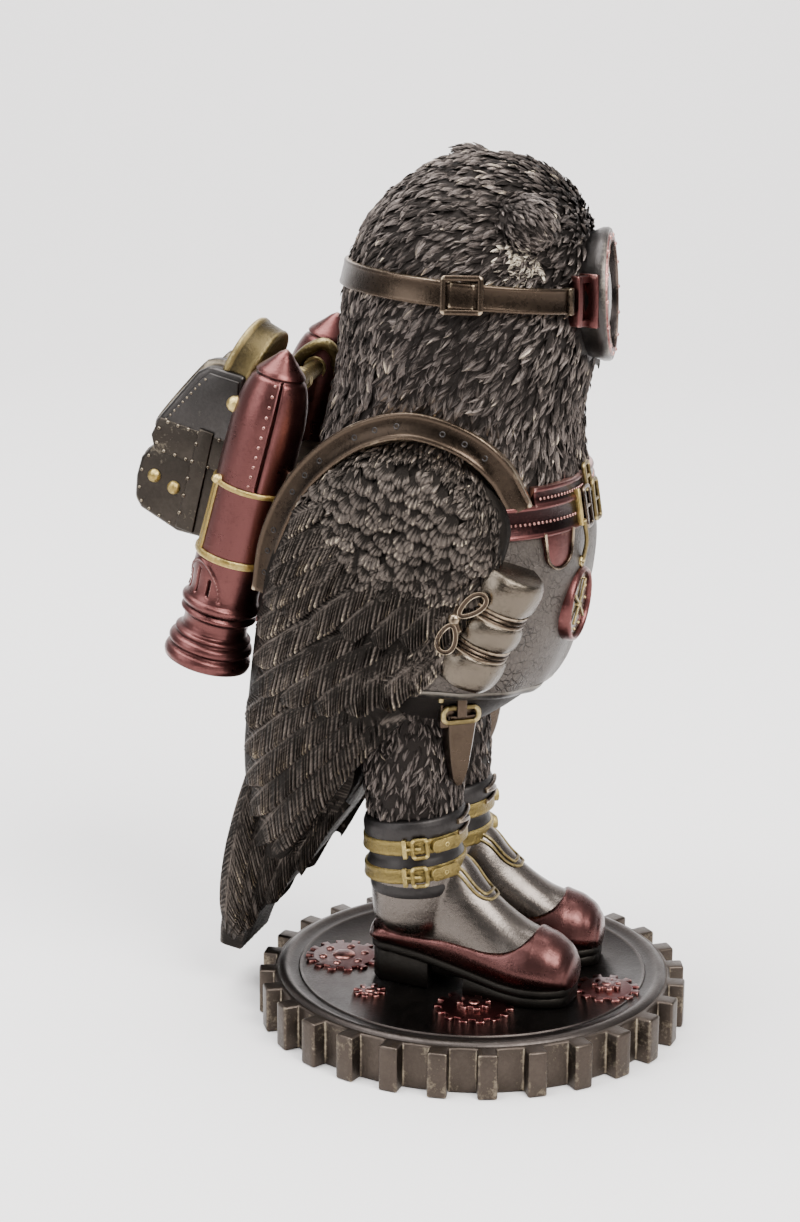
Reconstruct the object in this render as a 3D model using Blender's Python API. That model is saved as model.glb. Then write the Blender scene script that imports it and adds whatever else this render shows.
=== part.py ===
"""Owl sculpture: a goggled owl in boots with a jet pack, standing on a gear-shaped plinth.

Metres, +Z up. The owl faces -Y and its left side is +X.
The origin is the centre of the plinth's underside.
"""
import math

import bmesh
import bpy
import numpy as np
from mathutils import Vector

# Plinth
PLINTH_RADIUS = 0.0410
PLINTH_THICKNESS = 0.0087
PLINTH_TEETH = 28
TOOTH_DEPTH = 0.0029
TOOTH_SHARE = 0.40
FIRST_TOOTH_TURN = math.radians(7.6)
RIM_WIDTH = 0.0019
RIDGE_WIDTH = 0.0020
RIDGE_HEIGHT = 0.0007
RELIEF_GEAR_HEIGHT = 0.0008
RELIEF_TOOTH_DEPTH = 0.0011
PINION_HEIGHT = 0.0014
PINION_TEETH = 7

# Owl
FIGURE_HEIGHT = 0.1553
HEAD_TURN = math.radians(34.0)
FIT_GAP = 0.0003
LENS_RADIUS = 0.0119
LENS_WALL = 0.0021
LENS_BARREL = 0.0036
LENS_DEPTH = 0.0020
GOGGLE_STRAP_WIDTH = 0.0044
GOGGLE_STRAP_PROUD = 0.0009
SLIDER_LENGTH = 0.0062
SLIDER_PROUD = 0.0018
HARNESS_WIDTH = 0.0042
HARNESS_PROUD = 0.0012
BELT_WIDTH = 0.0052
UPPER_BELT_WIDTH = 0.0036
BELT_PROUD = 0.0012
STRAP_SINK = 0.0035
PLATE_THICKNESS = 0.0022
WATCH_RADIUS = 0.0070
WATCH_THICKNESS = 0.0022
WATCH_SINK = 0.0040
CROWN_WIDTH = 0.0022
CROWN_HEIGHT = 0.0034
BEDROLL_RADIUS = 0.0060
BEDROLL_LENGTH = 0.0235
GARTER_WIDTH = 0.0098
GARTER_HEIGHT = 0.0064
GARTER_THICKNESS = 0.0042
BOOT_STRAP_WIDTH = 0.0028
BOOT_STRAP_PROUD = 0.0007
SOLE_THICKNESS = 0.0026
HEEL_LENGTH = 0.0125
INSTEP_LENGTH = 0.0075

# Jet pack
TANK_SPACING = 0.0275
TANK_RADIUS = 0.0068
TANK_LENGTH = 0.0620
TANK_LEAN = math.radians(15.5)
TANK_STAGGER = 0.0030
TANK_BAND_WIDTH = 0.0013
TANK_BAND_PROUD = 0.0006
BOX_SEAT = 0.0038
BACK_PLATE_WIDTH = 0.0315
BACK_PLATE_HEIGHT = 0.0223
BACK_PLATE_REACH = 0.0190
GAUGE_RADIUS = 0.0076
GAUGE_THICKNESS = 0.0058
PIPE_RADIUS = 0.0016

# The figure is drawn on a grid of 155 steps from the soles to the crown.
STEP = FIGURE_HEIGHT / 155.0
GROUND = PLINTH_THICKNESS + FIT_GAP
DECK_RADIUS = PLINTH_RADIUS - TOOTH_DEPTH - RIM_WIDTH
WELD = 0.0000005

COLORS = {
    "gear_plinth": ((0.16, 0.12, 0.09), 0.9, 0.38),
    "owl_figure": ((0.13, 0.11, 0.10), 0.9, 0.42),
    "jet_pack": ((0.36, 0.13, 0.10), 0.9, 0.34),
}


def clear_scene():
    for item in list(bpy.data.objects):
        bpy.data.objects.remove(item, do_unlink=True)


def material(name):
    color, metallic, roughness = COLORS[name]
    made = bpy.data.materials.new(name)
    made.use_nodes = True
    shader = made.node_tree.nodes["Principled BSDF"]
    shader.inputs["Base Color"].default_value = (*color, 1.0)
    shader.inputs["Metallic"].default_value = metallic
    shader.inputs["Roughness"].default_value = roughness
    return made


def grid(x, y, z):
    """A point of the figure's grid in metres."""
    return Vector((x * STEP, y * STEP, z * STEP + GROUND))


def curve(table, at):
    """Smooth value through a table of (place, value, ...) rows."""
    rows = np.array(sorted(table), dtype=float)
    places = rows[:, 0]
    values = []
    for column in rows[:, 1:].T:
        slopes = np.gradient(column, places)
        at_clamped = min(max(at, places[0]), places[-1])
        k = min(int(np.searchsorted(places, at_clamped, "right")) - 1, len(places) - 2)
        width = places[k + 1] - places[k]
        s = (at_clamped - places[k]) / width
        values.append(
            (2 * s**3 - 3 * s**2 + 1) * column[k]
            + (s**3 - 2 * s**2 + s) * width * slopes[k]
            + (3 * s**2 - 2 * s**3) * column[k + 1]
            + (s**3 - s**2) * width * slopes[k + 1]
        )
    return values


def bridge(mesh, low, high):
    """Two flat triangles between each pair of neighbours on two loops."""
    for i in range(len(low)):
        j = (i + 1) % len(low)
        mesh.faces.new((low[i], low[j], high[j]))
        mesh.faces.new((low[i], high[j], high[i]))


def loft(rings, flat_ends=False):
    """Closed body through rings with equal point counts, closed by a flat face or a fan at each end."""
    mesh = bmesh.new()
    loops = [[mesh.verts.new(point) for point in ring] for ring in rings]
    count = len(loops[0])
    for low, high in zip(loops, loops[1:]):
        bridge(mesh, low, high)
    for loop in (loops[0], loops[-1]):
        if flat_ends:
            mesh.faces.new(loop)
            continue
        middle = mesh.verts.new(sum((vert.co for vert in loop), Vector()) / count)
        for i in range(count):
            mesh.faces.new((loop[i], loop[(i + 1) % count], middle))
    bmesh.ops.recalc_face_normals(mesh, faces=mesh.faces)
    return as_object(mesh)


def hoop(sections):
    """Closed ring of equal cross-sections whose last one meets the first."""
    mesh = bmesh.new()
    loops = [[mesh.verts.new(point) for point in section] for section in sections]
    for k, low in enumerate(loops):
        bridge(mesh, low, loops[(k + 1) % len(loops)])
    bmesh.ops.recalc_face_normals(mesh, faces=mesh.faces)
    return as_object(mesh)


def as_object(mesh):
    data = bpy.data.meshes.new("body")
    mesh.to_mesh(data)
    mesh.free()
    made = bpy.data.objects.new("body", data)
    bpy.context.scene.collection.objects.link(made)
    return made


def prism(outline, low, high):
    """Upright prism over an outline of (x, y) points."""
    return loft([[Vector((x, y, z)) for x, y in outline] for z in (low, high)], flat_ends=True)


def circle(count):
    """Evenly spaced angles of a full turn."""
    return [2 * math.pi * i / count for i in range(count)]


def turned(profile, sides, place, axis):
    """Body turned from (radius, height) points about an axis that starts at a place."""
    turn = Vector((0, 0, 1)).rotation_difference(Vector(axis)).to_matrix()
    rings = []
    for radius, height in profile:
        ring = [Vector((radius * math.cos(a), radius * math.sin(a), height)) for a in circle(sides)]
        rings.append([place + turn @ point for point in ring])
    return loft(rings, flat_ends=True)


def slab(center, size, axes):
    """Box of a size about a centre, along three given unit axes."""
    half = [Vector(axis) * extent / 2 for axis, extent in zip(axes, size)]
    rings = []
    for end in (-1, 1):
        corners = ((-1, -1), (1, -1), (1, 1), (-1, 1))
        rings.append([center + half[0] * a + half[1] * b + half[2] * end for a, b in corners])
    return loft(rings, flat_ends=True)


def ribbon(points, normals, width, height):
    """Flat strap along points, standing proud of the surface and sunk under it."""
    rings = []
    for k, (point, normal) in enumerate(zip(points, normals)):
        ahead = points[min(k + 1, len(points) - 1)] - points[max(k - 1, 0)]
        side = ahead.cross(normal).normalized() * width / 2
        up = normal.normalized()
        rings.append([
            point - side - up * STRAP_SINK,
            point - side + up * height * 0.8,
            point + up * height,
            point + side + up * height * 0.8,
            point + side - up * STRAP_SINK,
        ])
    return loft(rings)


def welded(mesh):
    """Joins the points that a Boolean leaves less than WELD apart."""
    bmesh.ops.remove_doubles(mesh, verts=mesh.verts, dist=WELD)
    bmesh.ops.dissolve_degenerate(mesh, edges=mesh.edges, dist=WELD)


def combined(bodies, operation="UNION"):
    """Exact Boolean of the first body with each of the others in turn, which are used up."""
    first = bodies[0]
    for body in bodies[1:]:
        boolean = first.modifiers.new("boolean", "BOOLEAN")
        boolean.operation = operation
        boolean.object = body
        boolean.solver = "EXACT"
        bpy.context.view_layer.update()
        graph = bpy.context.evaluated_depsgraph_get()
        data = bpy.data.meshes.new_from_object(first.evaluated_get(graph))
        first.modifiers.clear()
        mesh = bmesh.new()
        mesh.from_mesh(data)
        welded(mesh)
        mesh.to_mesh(data)
        mesh.free()
        first.data = data
        bpy.data.objects.remove(body, do_unlink=True)
    return first


def thinned(body, share):
    """Collapses the small triangles that unions leave, down to a share of the count."""
    thin = body.modifiers.new("thin", "DECIMATE")
    thin.ratio = share
    thin.use_collapse_triangulate = True
    bpy.context.view_layer.update()
    graph = bpy.context.evaluated_depsgraph_get()
    data = bpy.data.meshes.new_from_object(body.evaluated_get(graph))
    body.modifiers.clear()
    body.data = data
    return body


def finished(name, body, share=1.0):
    """Names a body as a sub-part, gives it its material and shades it."""
    mesh = bmesh.new()
    mesh.from_mesh(body.data)
    welded(mesh)
    bmesh.ops.dissolve_limit(mesh, angle_limit=math.radians(0.6), verts=mesh.verts, edges=mesh.edges)
    bmesh.ops.triangulate(mesh, faces=mesh.faces)
    mesh.to_mesh(body.data)
    mesh.free()
    if share < 1.0:
        body = thinned(body, share)
    body.name = name
    body.data.name = name
    body.data.materials.clear()
    body.data.materials.append(material(name))
    body.data.shade_smooth()
    body.data.set_sharp_from_angle(angle=math.radians(35))
    return body


# Relief gears on the deck: x, y, radius, teeth and radius of the pinion on it, as shares of the deck's radius
RELIEF_GEARS = (
    (-0.12, 0.68, 0.204, 14, 0.0),
    (-0.52, 0.40, 0.086, 8, 0.0),
    (-0.54, -0.17, 0.204, 14, 0.088),
    (-0.09, -0.757, 0.174, 12, 0.077),
)
RELIEF_TOOTH_SHARE = 0.5


def gear_outline(radius, depth, teeth, share, first_turn):
    """Corners of a gear with square teeth."""
    pitch = 2 * math.pi / teeth
    corners = []
    for k in range(teeth):
        middle = first_turn + k * pitch
        for offset, reach in ((-0.5, 0), (-0.5, 1), (0.5, 1), (0.5, 0)):
            angle = middle + offset * share * pitch
            r = radius - depth * (1 - reach)
            corners.append((r * math.cos(angle), r * math.sin(angle)))
    return corners


def gear_plinth():
    outline = gear_outline(PLINTH_RADIUS, TOOTH_DEPTH, PLINTH_TEETH, TOOTH_SHARE, FIRST_TOOTH_TURN)
    body = prism(outline, 0.0, PLINTH_THICKNESS)
    half = RIDGE_WIDTH / 2
    section = ((-half, -RIDGE_HEIGHT), (-half * 0.5, RIDGE_HEIGHT), (half * 0.5, RIDGE_HEIGHT),
               (half, -RIDGE_HEIGHT))
    ridge = []
    for angle in circle(3 * PLINTH_TEETH // 2):
        outward = Vector((math.cos(angle), math.sin(angle), 0))
        ridge.append([outward * (DECK_RADIUS + out) + Vector((0, 0, PLINTH_THICKNESS + up))
                      for out, up in section])
    reliefs = []
    for x, y, radius, teeth, pinion in RELIEF_GEARS:
        place = (x * DECK_RADIUS, y * DECK_RADIUS)
        reliefs.append(relief_gear(place, radius * DECK_RADIUS, teeth, RELIEF_GEAR_HEIGHT))
        if pinion:
            reliefs.append(relief_gear(place, pinion * DECK_RADIUS, PINION_TEETH, PINION_HEIGHT))
    reliefs = combined(reliefs)
    boots = [prism(sole_outline(side, FIT_GAP), PLINTH_THICKNESS / 2, PLINTH_THICKNESS + SOLE_THICKNESS)
             for side in (-1, 1)]
    reliefs = combined([reliefs, *boots], "DIFFERENCE")
    finished("gear_plinth", combined([body, hoop(ridge), reliefs]))


def relief_gear(place, radius, teeth, height):
    """Low gear on the deck, sunk into it by its own height."""
    wheel = gear_outline(radius, RELIEF_TOOTH_DEPTH, teeth, RELIEF_TOOTH_SHARE, 0.0)
    wheel = [(place[0] + x, place[1] + y) for x, y in wheel]
    return prism(wheel, PLINTH_THICKNESS - height, PLINTH_THICKNESS + height)


def deck_clearance():
    """The plinth grown by the fit gap, to keep the tail clear of it."""
    reach = PLINTH_RADIUS + FIT_GAP
    rim = [(reach * math.cos(a), reach * math.sin(a)) for a in circle(PLINTH_TEETH)]
    return prism(rim, -GROUND, GROUND)


# Boots, in grid steps along the foot from the heel to the toe: half width, height of the upper
BOOT_LENGTH = 38.8
BOOT_PLAN = (
    (0.0, 3.0, 9.0), (1.2, 4.8, 13.0), (5.0, 6.1, 18.0), (13.0, 6.3, 26.0), (17.5, 6.2, 25.0),
    (21.0, 6.1, 20.8), (25.0, 6.3, 17.2), (29.2, 6.7, 14.4), (33.0, 6.5, 12.8), (36.0, 5.5, 11.2),
    (38.0, 3.9, 8.8), (38.8, 2.2, 6.4),
)
BOOT_SECTION = ((-0.9, 0.0), (-1.0, 0.35), (-0.76, 0.76), (0.0, 1.0), (0.76, 0.76), (1.0, 0.35), (0.9, 0.0))
WELT = 0.3
HEEL_PLACE = (7.0, 16.2)
TOE_PLACE = (10.9, -23.0)

# Shaft, in grid steps: height, radius. The cuff is at its top.
BOOT_SHAFT = ((10.0, 7.9), (18.0, 8.6), (30.2, 9.0), (30.6, 9.7), (33.0, 9.8), (34.0, 8.9))

# Boot straps, in grid steps: height, radius, then how far their front is raised
BOOT_STRAP_PLACES = ((23.4, 8.8), (29.0, 9.0))
BOOT_STRAP_TILT = 1.1
LEG_SIDES = 12

# Middle of a leg, in grid steps: height, x, y
LEG_LINE = ((0, 9.2, 8.8), (31, 9.2, 8.8), (50, 9.4, 9.6), (70, 9.0, 10.0))

# Tuft rows of a thigh, in grid steps: height, radius
THIGH_ROWS = ((62, 8.5), (54, 9.2), (47, 9.3), (40, 9.2), (33, 8.4))
THIGH_COLUMNS = 14


def boot_axes(side):
    """Heel point, direction along the foot and direction to its outer side."""
    heel = Vector((side * HEEL_PLACE[0], HEEL_PLACE[1], 0)) * STEP
    toe = Vector((side * TOE_PLACE[0], TOE_PLACE[1], 0)) * STEP
    along = (toe - heel).normalized()
    across = Vector((0, 0, 1)).cross(along)
    return heel, along, across


def sole_outline(side, grow):
    """Outline of one sole on the ground, grown by a margin all round."""
    heel, along, across = boot_axes(side)
    flanks = []
    for place, half, _ in BOOT_PLAN:
        half = (half + WELT) * STEP + grow
        shift = (place / BOOT_LENGTH * 2 - 1) * grow
        flanks.append((heel + along * (place * STEP + shift), across * half))
    ring = [middle + half for middle, half in flanks] + [middle - half for middle, half in reversed(flanks)]
    return [(point.x, point.y) for point in ring]


def boot(side):
    """Boot with its sole, heel block, instep gap, shaft, cuffs and straps."""
    heel, along, across = boot_axes(side)
    base = Vector((0, 0, GROUND))
    rings = []
    for place, half, top in BOOT_PLAN:
        middle = heel + along * place * STEP + base
        low = SOLE_THICKNESS * 0.6
        high = top * STEP
        rings.append([middle + across * half * out * STEP + Vector((0, 0, low + (high - low) * up))
                      for out, up in BOOT_SECTION])
    foot = loft(rings)
    sole = prism(sole_outline(side, 0.0), GROUND, GROUND + SOLE_THICKNESS)
    instep = heel + along * (HEEL_LENGTH + INSTEP_LENGTH / 2) + base
    arch = slab(instep, (INSTEP_LENGTH, BOOT_LENGTH * STEP, SOLE_THICKNESS), (along, across, (0, 0, 1)))
    sole = combined([sole, arch], "DIFFERENCE")
    pieces = [foot, sole, turned_leg(side, BOOT_SHAFT)]
    half = BOOT_STRAP_WIDTH / STEP / 2
    for height, radius in BOOT_STRAP_PLACES:
        outer = radius + BOOT_STRAP_PROUD / STEP
        strap = ((height - half, outer), (height + half, outer))
        pieces.append(turned_leg(side, strap, BOOT_STRAP_TILT))
    return pieces


def leg_ring(side, heights, radii):
    """Ring round a leg, with a height and a radius in grid steps for each of its points."""
    ring = []
    for angle, height, radius in zip(circle(len(heights)), heights, radii):
        x, y = curve(LEG_LINE, height)
        ring.append(grid(side * x + radius * math.cos(angle), y + radius * math.sin(angle), height))
    return ring


def turned_leg(side, stations, tilt=0.0):
    """Round leg stretch through (height, radius) stations, its front raised by a tilt."""
    rings = []
    for height, radius in stations:
        heights = [height - tilt * math.sin(angle) for angle in circle(LEG_SIDES)]
        rings.append(leg_ring(side, heights, [radius] * LEG_SIDES))
    return loft(rings)


def feathered_leg(side):
    """Thigh with staggered rows of tufts."""
    drop, tip_out, notch_out, step_back = 1.6, 0.9, 0.4, 0.5
    top, wide = THIGH_ROWS[0]
    rings = [leg_ring(side, [top] * THIGH_COLUMNS, [wide] * THIGH_COLUMNS)]
    for k, (low, wide) in enumerate(THIGH_ROWS[1:]):
        is_tip = [(i + k) % 2 for i in range(THIGH_COLUMNS)]
        heights = [low - drop * tip for tip in is_tip]
        rings.append(leg_ring(side, heights, [wide + (tip_out if tip else notch_out) for tip in is_tip]))
        rings.append(leg_ring(side, [h - step_back for h in heights], [wide - 0.2] * THIGH_COLUMNS))
    return loft(rings)


# Torso and head, in grid steps: height, back, front, half width
TORSO = (
    (48.0, 25.0, 4.6, 10.6),
    (51.0, 28.2, -2.0, 14.6),
    (55.0, 29.8, -8.2, 18.4),
    (61.0, 30.0, -13.8, 22.6),
    (67.0, 29.8, -16.8, 24.8),
    (73.0, 29.6, -18.7, 26.0),
    (79.0, 29.4, -19.7, 26.4),
    (85.0, 29.2, -20.0, 26.4),
    (91.0, 28.8, -19.6, 26.0),
    (97.0, 28.2, -18.6, 25.0),
    (103.0, 27.6, -17.6, 23.8),
    (109.0, 26.8, -17.8, 23.0),
    (115.0, 26.0, -19.2, 23.4),
    (121.0, 25.2, -20.6, 24.6),
    (127.0, 24.7, -21.3, 25.2),
    (133.0, 23.8, -21.2, 24.9),
    (139.0, 22.0, -20.0, 23.4),
    (144.0, 19.2, -18.0, 20.8),
    (148.5, 14.8, -14.8, 16.6),
    (151.5, 10.4, -10.8, 12.0),
    (153.4, 6.0, -6.2, 7.0),
)
POLE = 154.5
COLUMNS = 28

# Tufts of the torso and head, in grid steps: heights of their rows, how far a tip stands out and hangs down
TUFT_ROWS = (151.0, 146.0, 140.0, 133.5, 126.5, 119.5, 112.5, 105.5, 98.0, 88.0, 76.0, 65.0, 56.0)
TUFT_OUT = 1.0
TUFT_DROP = 2.2
NOTCH_OUT = 0.45

# No tufts show on the front below this height, where the apron lies
SMOOTH_BELOW = 96.0
SMOOTH_TURN = math.radians(78)


def torso_point(angle, height, out=0.0):
    """Point on the torso or head. Angle 0 is the front and a quarter turn is the owl's left."""
    back, front, half = curve(TORSO, height)
    middle = (back + front) / 2
    depth = (back - front) / 2
    x = math.sin(angle)
    y = -math.cos(angle)
    square = 1.0 if height > 110 else 1.0 + 0.06 * abs(math.sin(2 * angle))
    return grid((half * square + out) * x, middle + (depth * square + out) * y, height)


def torso_normal(angle, height):
    """Outward direction of the torso's surface."""
    around = torso_point(angle + 0.05, height) - torso_point(angle - 0.05, height)
    up = torso_point(angle, height + 0.6) - torso_point(angle, height - 0.6)
    return around.cross(up).normalized()


def plumage_depth(angle, height):
    """How far tuft tips stand out at a place: none on the smooth apron."""
    turn = abs(math.remainder(angle, 2 * math.pi))
    return 0.0 if height < SMOOTH_BELOW and turn < SMOOTH_TURN else TUFT_OUT


def torso():
    """Torso and head with staggered rows of pointed tufts."""
    step_back, step_down = 0.25, 0.6
    angles = circle(COLUMNS)
    rings = [[grid(math.sin(a), -math.cos(a), POLE) for a in angles]]
    rings.append([torso_point(a, TORSO[-1][0]) for a in angles])
    for k, height in enumerate(TUFT_ROWS):
        tips = []
        under = []
        for i, angle in enumerate(angles):
            depth = plumage_depth(angle, height)
            is_tip = (i + k) % 2
            low = height - TUFT_DROP * depth * is_tip
            tips.append(torso_point(angle, low, depth * (1.0 if is_tip else NOTCH_OUT)))
            under.append(torso_point(angle, low - step_down, -step_back))
        rings += [tips, under]
    rings.append([torso_point(a, TORSO[0][0]) for a in angles])
    return loft(rings)


# Wings, in grid steps: share of the way down, front edge x y z, back edge x y z, bulge
WING = (
    (0.00, 23.0, -4.0, 105.0, 23.0, 8.0, 107.0, 1.0),
    (0.10, 25.0, -11.0, 96.0, 23.5, 17.0, 103.0, 3.6),
    (0.25, 26.0, -11.5, 87.0, 21.5, 28.5, 93.5, 5.4),
    (0.40, 27.0, -5.0, 75.0, 20.5, 34.0, 82.5, 5.6),
    (0.55, 26.0, 4.0, 63.0, 19.0, 36.6, 70.0, 4.8),
    (0.70, 22.5, 13.0, 52.0, 16.5, 39.2, 56.0, 3.6),
    (0.85, 18.0, 22.0, 38.0, 12.5, 41.8, 40.5, 2.2),
    (1.00, 11.5, 34.0, 21.5, 9.5, 41.0, 20.0, 1.0),
)
WING_TIERS = (0.09, 0.18, 0.28, 0.39, 0.52, 0.68, 0.87)
WING_FEATHERS = 6
WING_INSIDE = ((0.94, -5.0), (0.5, -9.0), (0.06, -5.0))
WING_TIP_LENGTH = 60.0


def wing_point(side, down, across, out=0.0):
    """Point on a wing: down from shoulder to tip, across from front edge to back edge."""
    down = min(down, 1.04)
    extra = max(down - 1.0, 0.0)
    values = curve(WING, min(down, 1.0))
    front = Vector(values[0:3])
    back = Vector(values[3:6])
    point = front.lerp(back, across)
    reach = 4 * across * (1 - across)
    point.x += values[6] * reach**0.7 + out
    point.z -= extra * WING_TIP_LENGTH
    return grid(side * point.x, point.y, point.z)


def feather_wave(across, stagger):
    """0 between two wing feathers and 1 in the middle of one."""
    return 0.5 - 0.5 * math.cos(2 * math.pi * (across * WING_FEATHERS + stagger))


def wing_ring(side, down_of, out_of):
    """Closed ring round a wing, from functions of the place across it."""
    columns = 3 * WING_FEATHERS
    outside = [(i / columns, out_of(i / columns)) for i in range(columns + 1)]
    return [wing_point(side, down_of(across), across, out) for across, out in (*outside, *WING_INSIDE)]


def wing(side):
    """Folded wing with tiers of overlapping round-tipped feathers."""
    rings = [wing_ring(side, lambda across: 0.0, lambda across: 0.0)]
    for k, level in enumerate(WING_TIERS):
        stagger = 0.5 * (k % 2)
        drop = 0.024 + 0.05 * k / len(WING_TIERS)

        def tip(across, extra=0.0):
            return level + extra + drop * feather_wave(across, stagger)

        def lift(across):
            edge = min(1.0, 0.2 + 12 * min(across, 1 - across))
            return (0.3 + 0.9 * feather_wave(across, stagger)) * edge

        rings.append(wing_ring(side, tip, lift))
        rings.append(wing_ring(side, lambda across: tip(across, 0.006), lambda across: -0.3))
    return loft(rings)


# Tail, in grid steps: share of the way down, back y z, front y z, half width
TAIL = (
    (0.0, 38.0, 62.0, 22.0, 58.0, 15.0),
    (0.2, 42.6, 50.0, 19.4, 43.0, 14.0),
    (0.45, 42.2, 33.0, 24.0, 31.0, 12.5),
    (0.7, 46.2, 17.0, 35.2, 15.0, 10.5),
    (0.9, 49.4, 5.6, 43.4, 4.4, 8.8),
    (1.0, 50.0, 0.8, 45.0, -0.2, 7.6),
)
TAIL_RIDGES = 5
TAIL_GROOVE = 0.8
TAIL_CROWN = 0.28


def tail():
    """Tail fan with long feather ridges down its back."""
    rings = []
    for _, back_y, back_z, front_y, front_z, half in TAIL:
        back = Vector((0, back_y, back_z))
        front = Vector((0, front_y, front_z))
        thick = (back - front).length
        outward = (back - front).normalized()
        ring = []
        for i in range(2 * TAIL_RIDGES + 1):
            place = i / TAIL_RIDGES - 1
            crown = 1 - TAIL_CROWN * (1 - math.sqrt(max(0.0, 1 - place * place)))
            roof = thick * crown - TAIL_GROOVE * (i % 2)
            ring.append(front + outward * roof + Vector((place * half, 0, 0)))
        for place in (0.9, 0.0, -0.9):
            ring.append(front + Vector((place * half, 0, 0)))
        rings.append([grid(*point) for point in ring])
    return combined([loft(rings), deck_clearance()], "DIFFERENCE")


# Head, in its own turned frame: forward is where the beak points
HEAD_MIDDLE = (0.0, 1.6, 130.0)
LENS_TURN = math.radians(22)
LENS_RISE = math.radians(3)
LENS_SEAT_TURN = math.radians(27)
LENS_REACH = 22.6
RIM_LIP = 0.0009
BARREL_SINK = 0.0040
SLIDER_TURN = math.radians(-112)

# Beak, from its root, in grid steps: reach, drop, half width, half height
BEAK_ROOT = 119.6
BEAK = ((17.0, 0.0, 3.4, 4.2), (22.4, -0.6, 3.0, 3.4), (24.6, -2.4, 1.9, 2.4), (25.2, -4.8, 0.6, 1.0))

# Ear tufts: turn from the beak's direction and rise over the head's middle, in degrees
EAR_TUFTS = ((-82.0, 36.0), (68.0, 50.0))

# An ear tuft from its seat, in grid steps: distance along it, half width, half height
EAR_TUFT_SHAPE = ((0.0, 4.6, 4.8), (4.0, 4.4, 4.4), (7.0, 3.4, 3.4), (9.4, 1.6, 1.6))
EAR_TUFT_SEAT = 20.0


def head_direction(turn, rise=0.0):
    """Unit direction at a turn to the owl's left of the beak's direction."""
    angle = HEAD_TURN + turn
    flat = math.cos(rise)
    return Vector((math.sin(angle) * flat, -math.cos(angle) * flat, math.sin(rise)))


def strap_height(turn):
    """Height of the goggle strap, which rises towards the back of the head."""
    return 131.6 - 2.2 * math.cos(turn)


def goggles():
    """Strap round the head, two barrels with recessed lenses and the slider buckle."""
    half = GOGGLE_STRAP_WIDTH / STEP / 2
    seat_out = 0.6
    proud = seat_out + GOGGLE_STRAP_PROUD / STEP
    sunk = -1.5
    sections = []
    for turn in circle(24):
        height = strap_height(turn)
        sections.append([torso_point(HEAD_TURN + turn, height + dz, out)
                         for dz, out in ((-half, sunk), (-half, proud), (half, proud), (half, sunk))])
    pieces = [hoop(sections)]
    bore = LENS_RADIUS - LENS_WALL
    profile = ((LENS_RADIUS * 0.9, -LENS_BARREL - BARREL_SINK), (LENS_RADIUS, -LENS_BARREL * 0.2),
               (LENS_RADIUS, RIM_LIP), (bore, RIM_LIP), (bore * 0.96, -LENS_DEPTH),
               (bore * 0.5, -LENS_DEPTH + LENS_WALL / 3))
    for side in (-1, 1):
        axis = head_direction(side * LENS_TURN, LENS_RISE)
        seat = head_direction(side * LENS_SEAT_TURN)
        rim = grid(*HEAD_MIDDLE) + seat * LENS_REACH * STEP + axis * LENS_BARREL * 0.35
        pieces.append(turned(profile, 18, rim, axis))
    size = (SLIDER_LENGTH, GOGGLE_STRAP_WIDTH * 1.5, 2 * SLIDER_PROUD)
    pieces.append(plate(HEAD_TURN + SLIDER_TURN, strap_height(SLIDER_TURN), size, seat_out))
    return pieces


def beak():
    """Small hooked beak between and below the lenses."""
    forward = head_direction(0.0)
    up = Vector((0, 0, 1))
    across = up.cross(forward)
    root = grid(HEAD_MIDDLE[0], HEAD_MIDDLE[1], BEAK_ROOT)
    rings = []
    for reach, drop, half, tall in BEAK:
        middle = root + (forward * reach + up * drop) * STEP
        rings.append([middle + (across * half * math.cos(a) + up * tall * math.sin(a)) * STEP
                      for a in circle(8)])
    return loft(rings)


def ear_tufts():
    """Two blunt tufts on the sides of the crown. The head leans, so one sits lower."""
    pieces = []
    for turn, rise in EAR_TUFTS:
        seat = head_direction(math.radians(turn), math.radians(rise))
        sweep = head_direction(math.radians(turn * 1.35), math.radians(rise))
        across = seat.cross(sweep).normalized()
        back = across.cross(seat)
        start = grid(*HEAD_MIDDLE) + seat * EAR_TUFT_SEAT * STEP
        rings = []
        for along, wide, tall in EAR_TUFT_SHAPE:
            middle = start + (seat * 0.8 + sweep * 0.25) * along * STEP
            rings.append([middle + (across * wide * math.cos(a) + back * tall * math.sin(a)) * STEP
                          for a in circle(8)])
        pieces.append(loft(rings))
    return pieces


# Harness over the shoulder on the owl's right, in grid steps. The left one mirrors it.
HARNESS_ROUTE = (
    (20.0, -13.0, 95.0), (23.6, -9.8, 102.4), (25.0, -4.0, 107.0), (25.3, 5.0, 109.3), (24.6, 13.6, 107.4),
    (23.4, 21.6, 102.4), (22.0, 28.0, 95.4), (21.0, 32.6, 86.0), (20.0, 34.6, 76.0),
)
HARNESS_MIDDLE = (0.0, 7.0, 90.0)


def harness(side):
    """Leather strap between the neck and the wing."""
    points = [grid(side * x, y, z) for x, y, z in HARNESS_ROUTE]
    middle = grid(*HARNESS_MIDDLE)
    normals = []
    for point in points:
        away = point - middle
        normals.append(Vector((away.x * 1.5, away.y * 0.35, away.z * 0.55)).normalized())
    return ribbon(points, normals, HARNESS_WIDTH, HARNESS_PROUD)


# Buckles and the tab: turn from the front in degrees, and height, width and height in grid steps
CHEST_PLATES = (
    (-10.0, 92.5, 5.0, 7.6), (8.0, 92.5, 5.0, 7.6), (0.0, 98.6, 5.0, 5.6), (-36.0, 86.0, 6.0, 6.4),
)

# Watch: turn round the torso, height in grid steps, shares of the torso's outward direction that it faces
WATCH_TURN = math.radians(-9)
WATCH_PLACE = 76.0
WATCH_FACING = (0.8, 1.0, 0.5)

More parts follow.
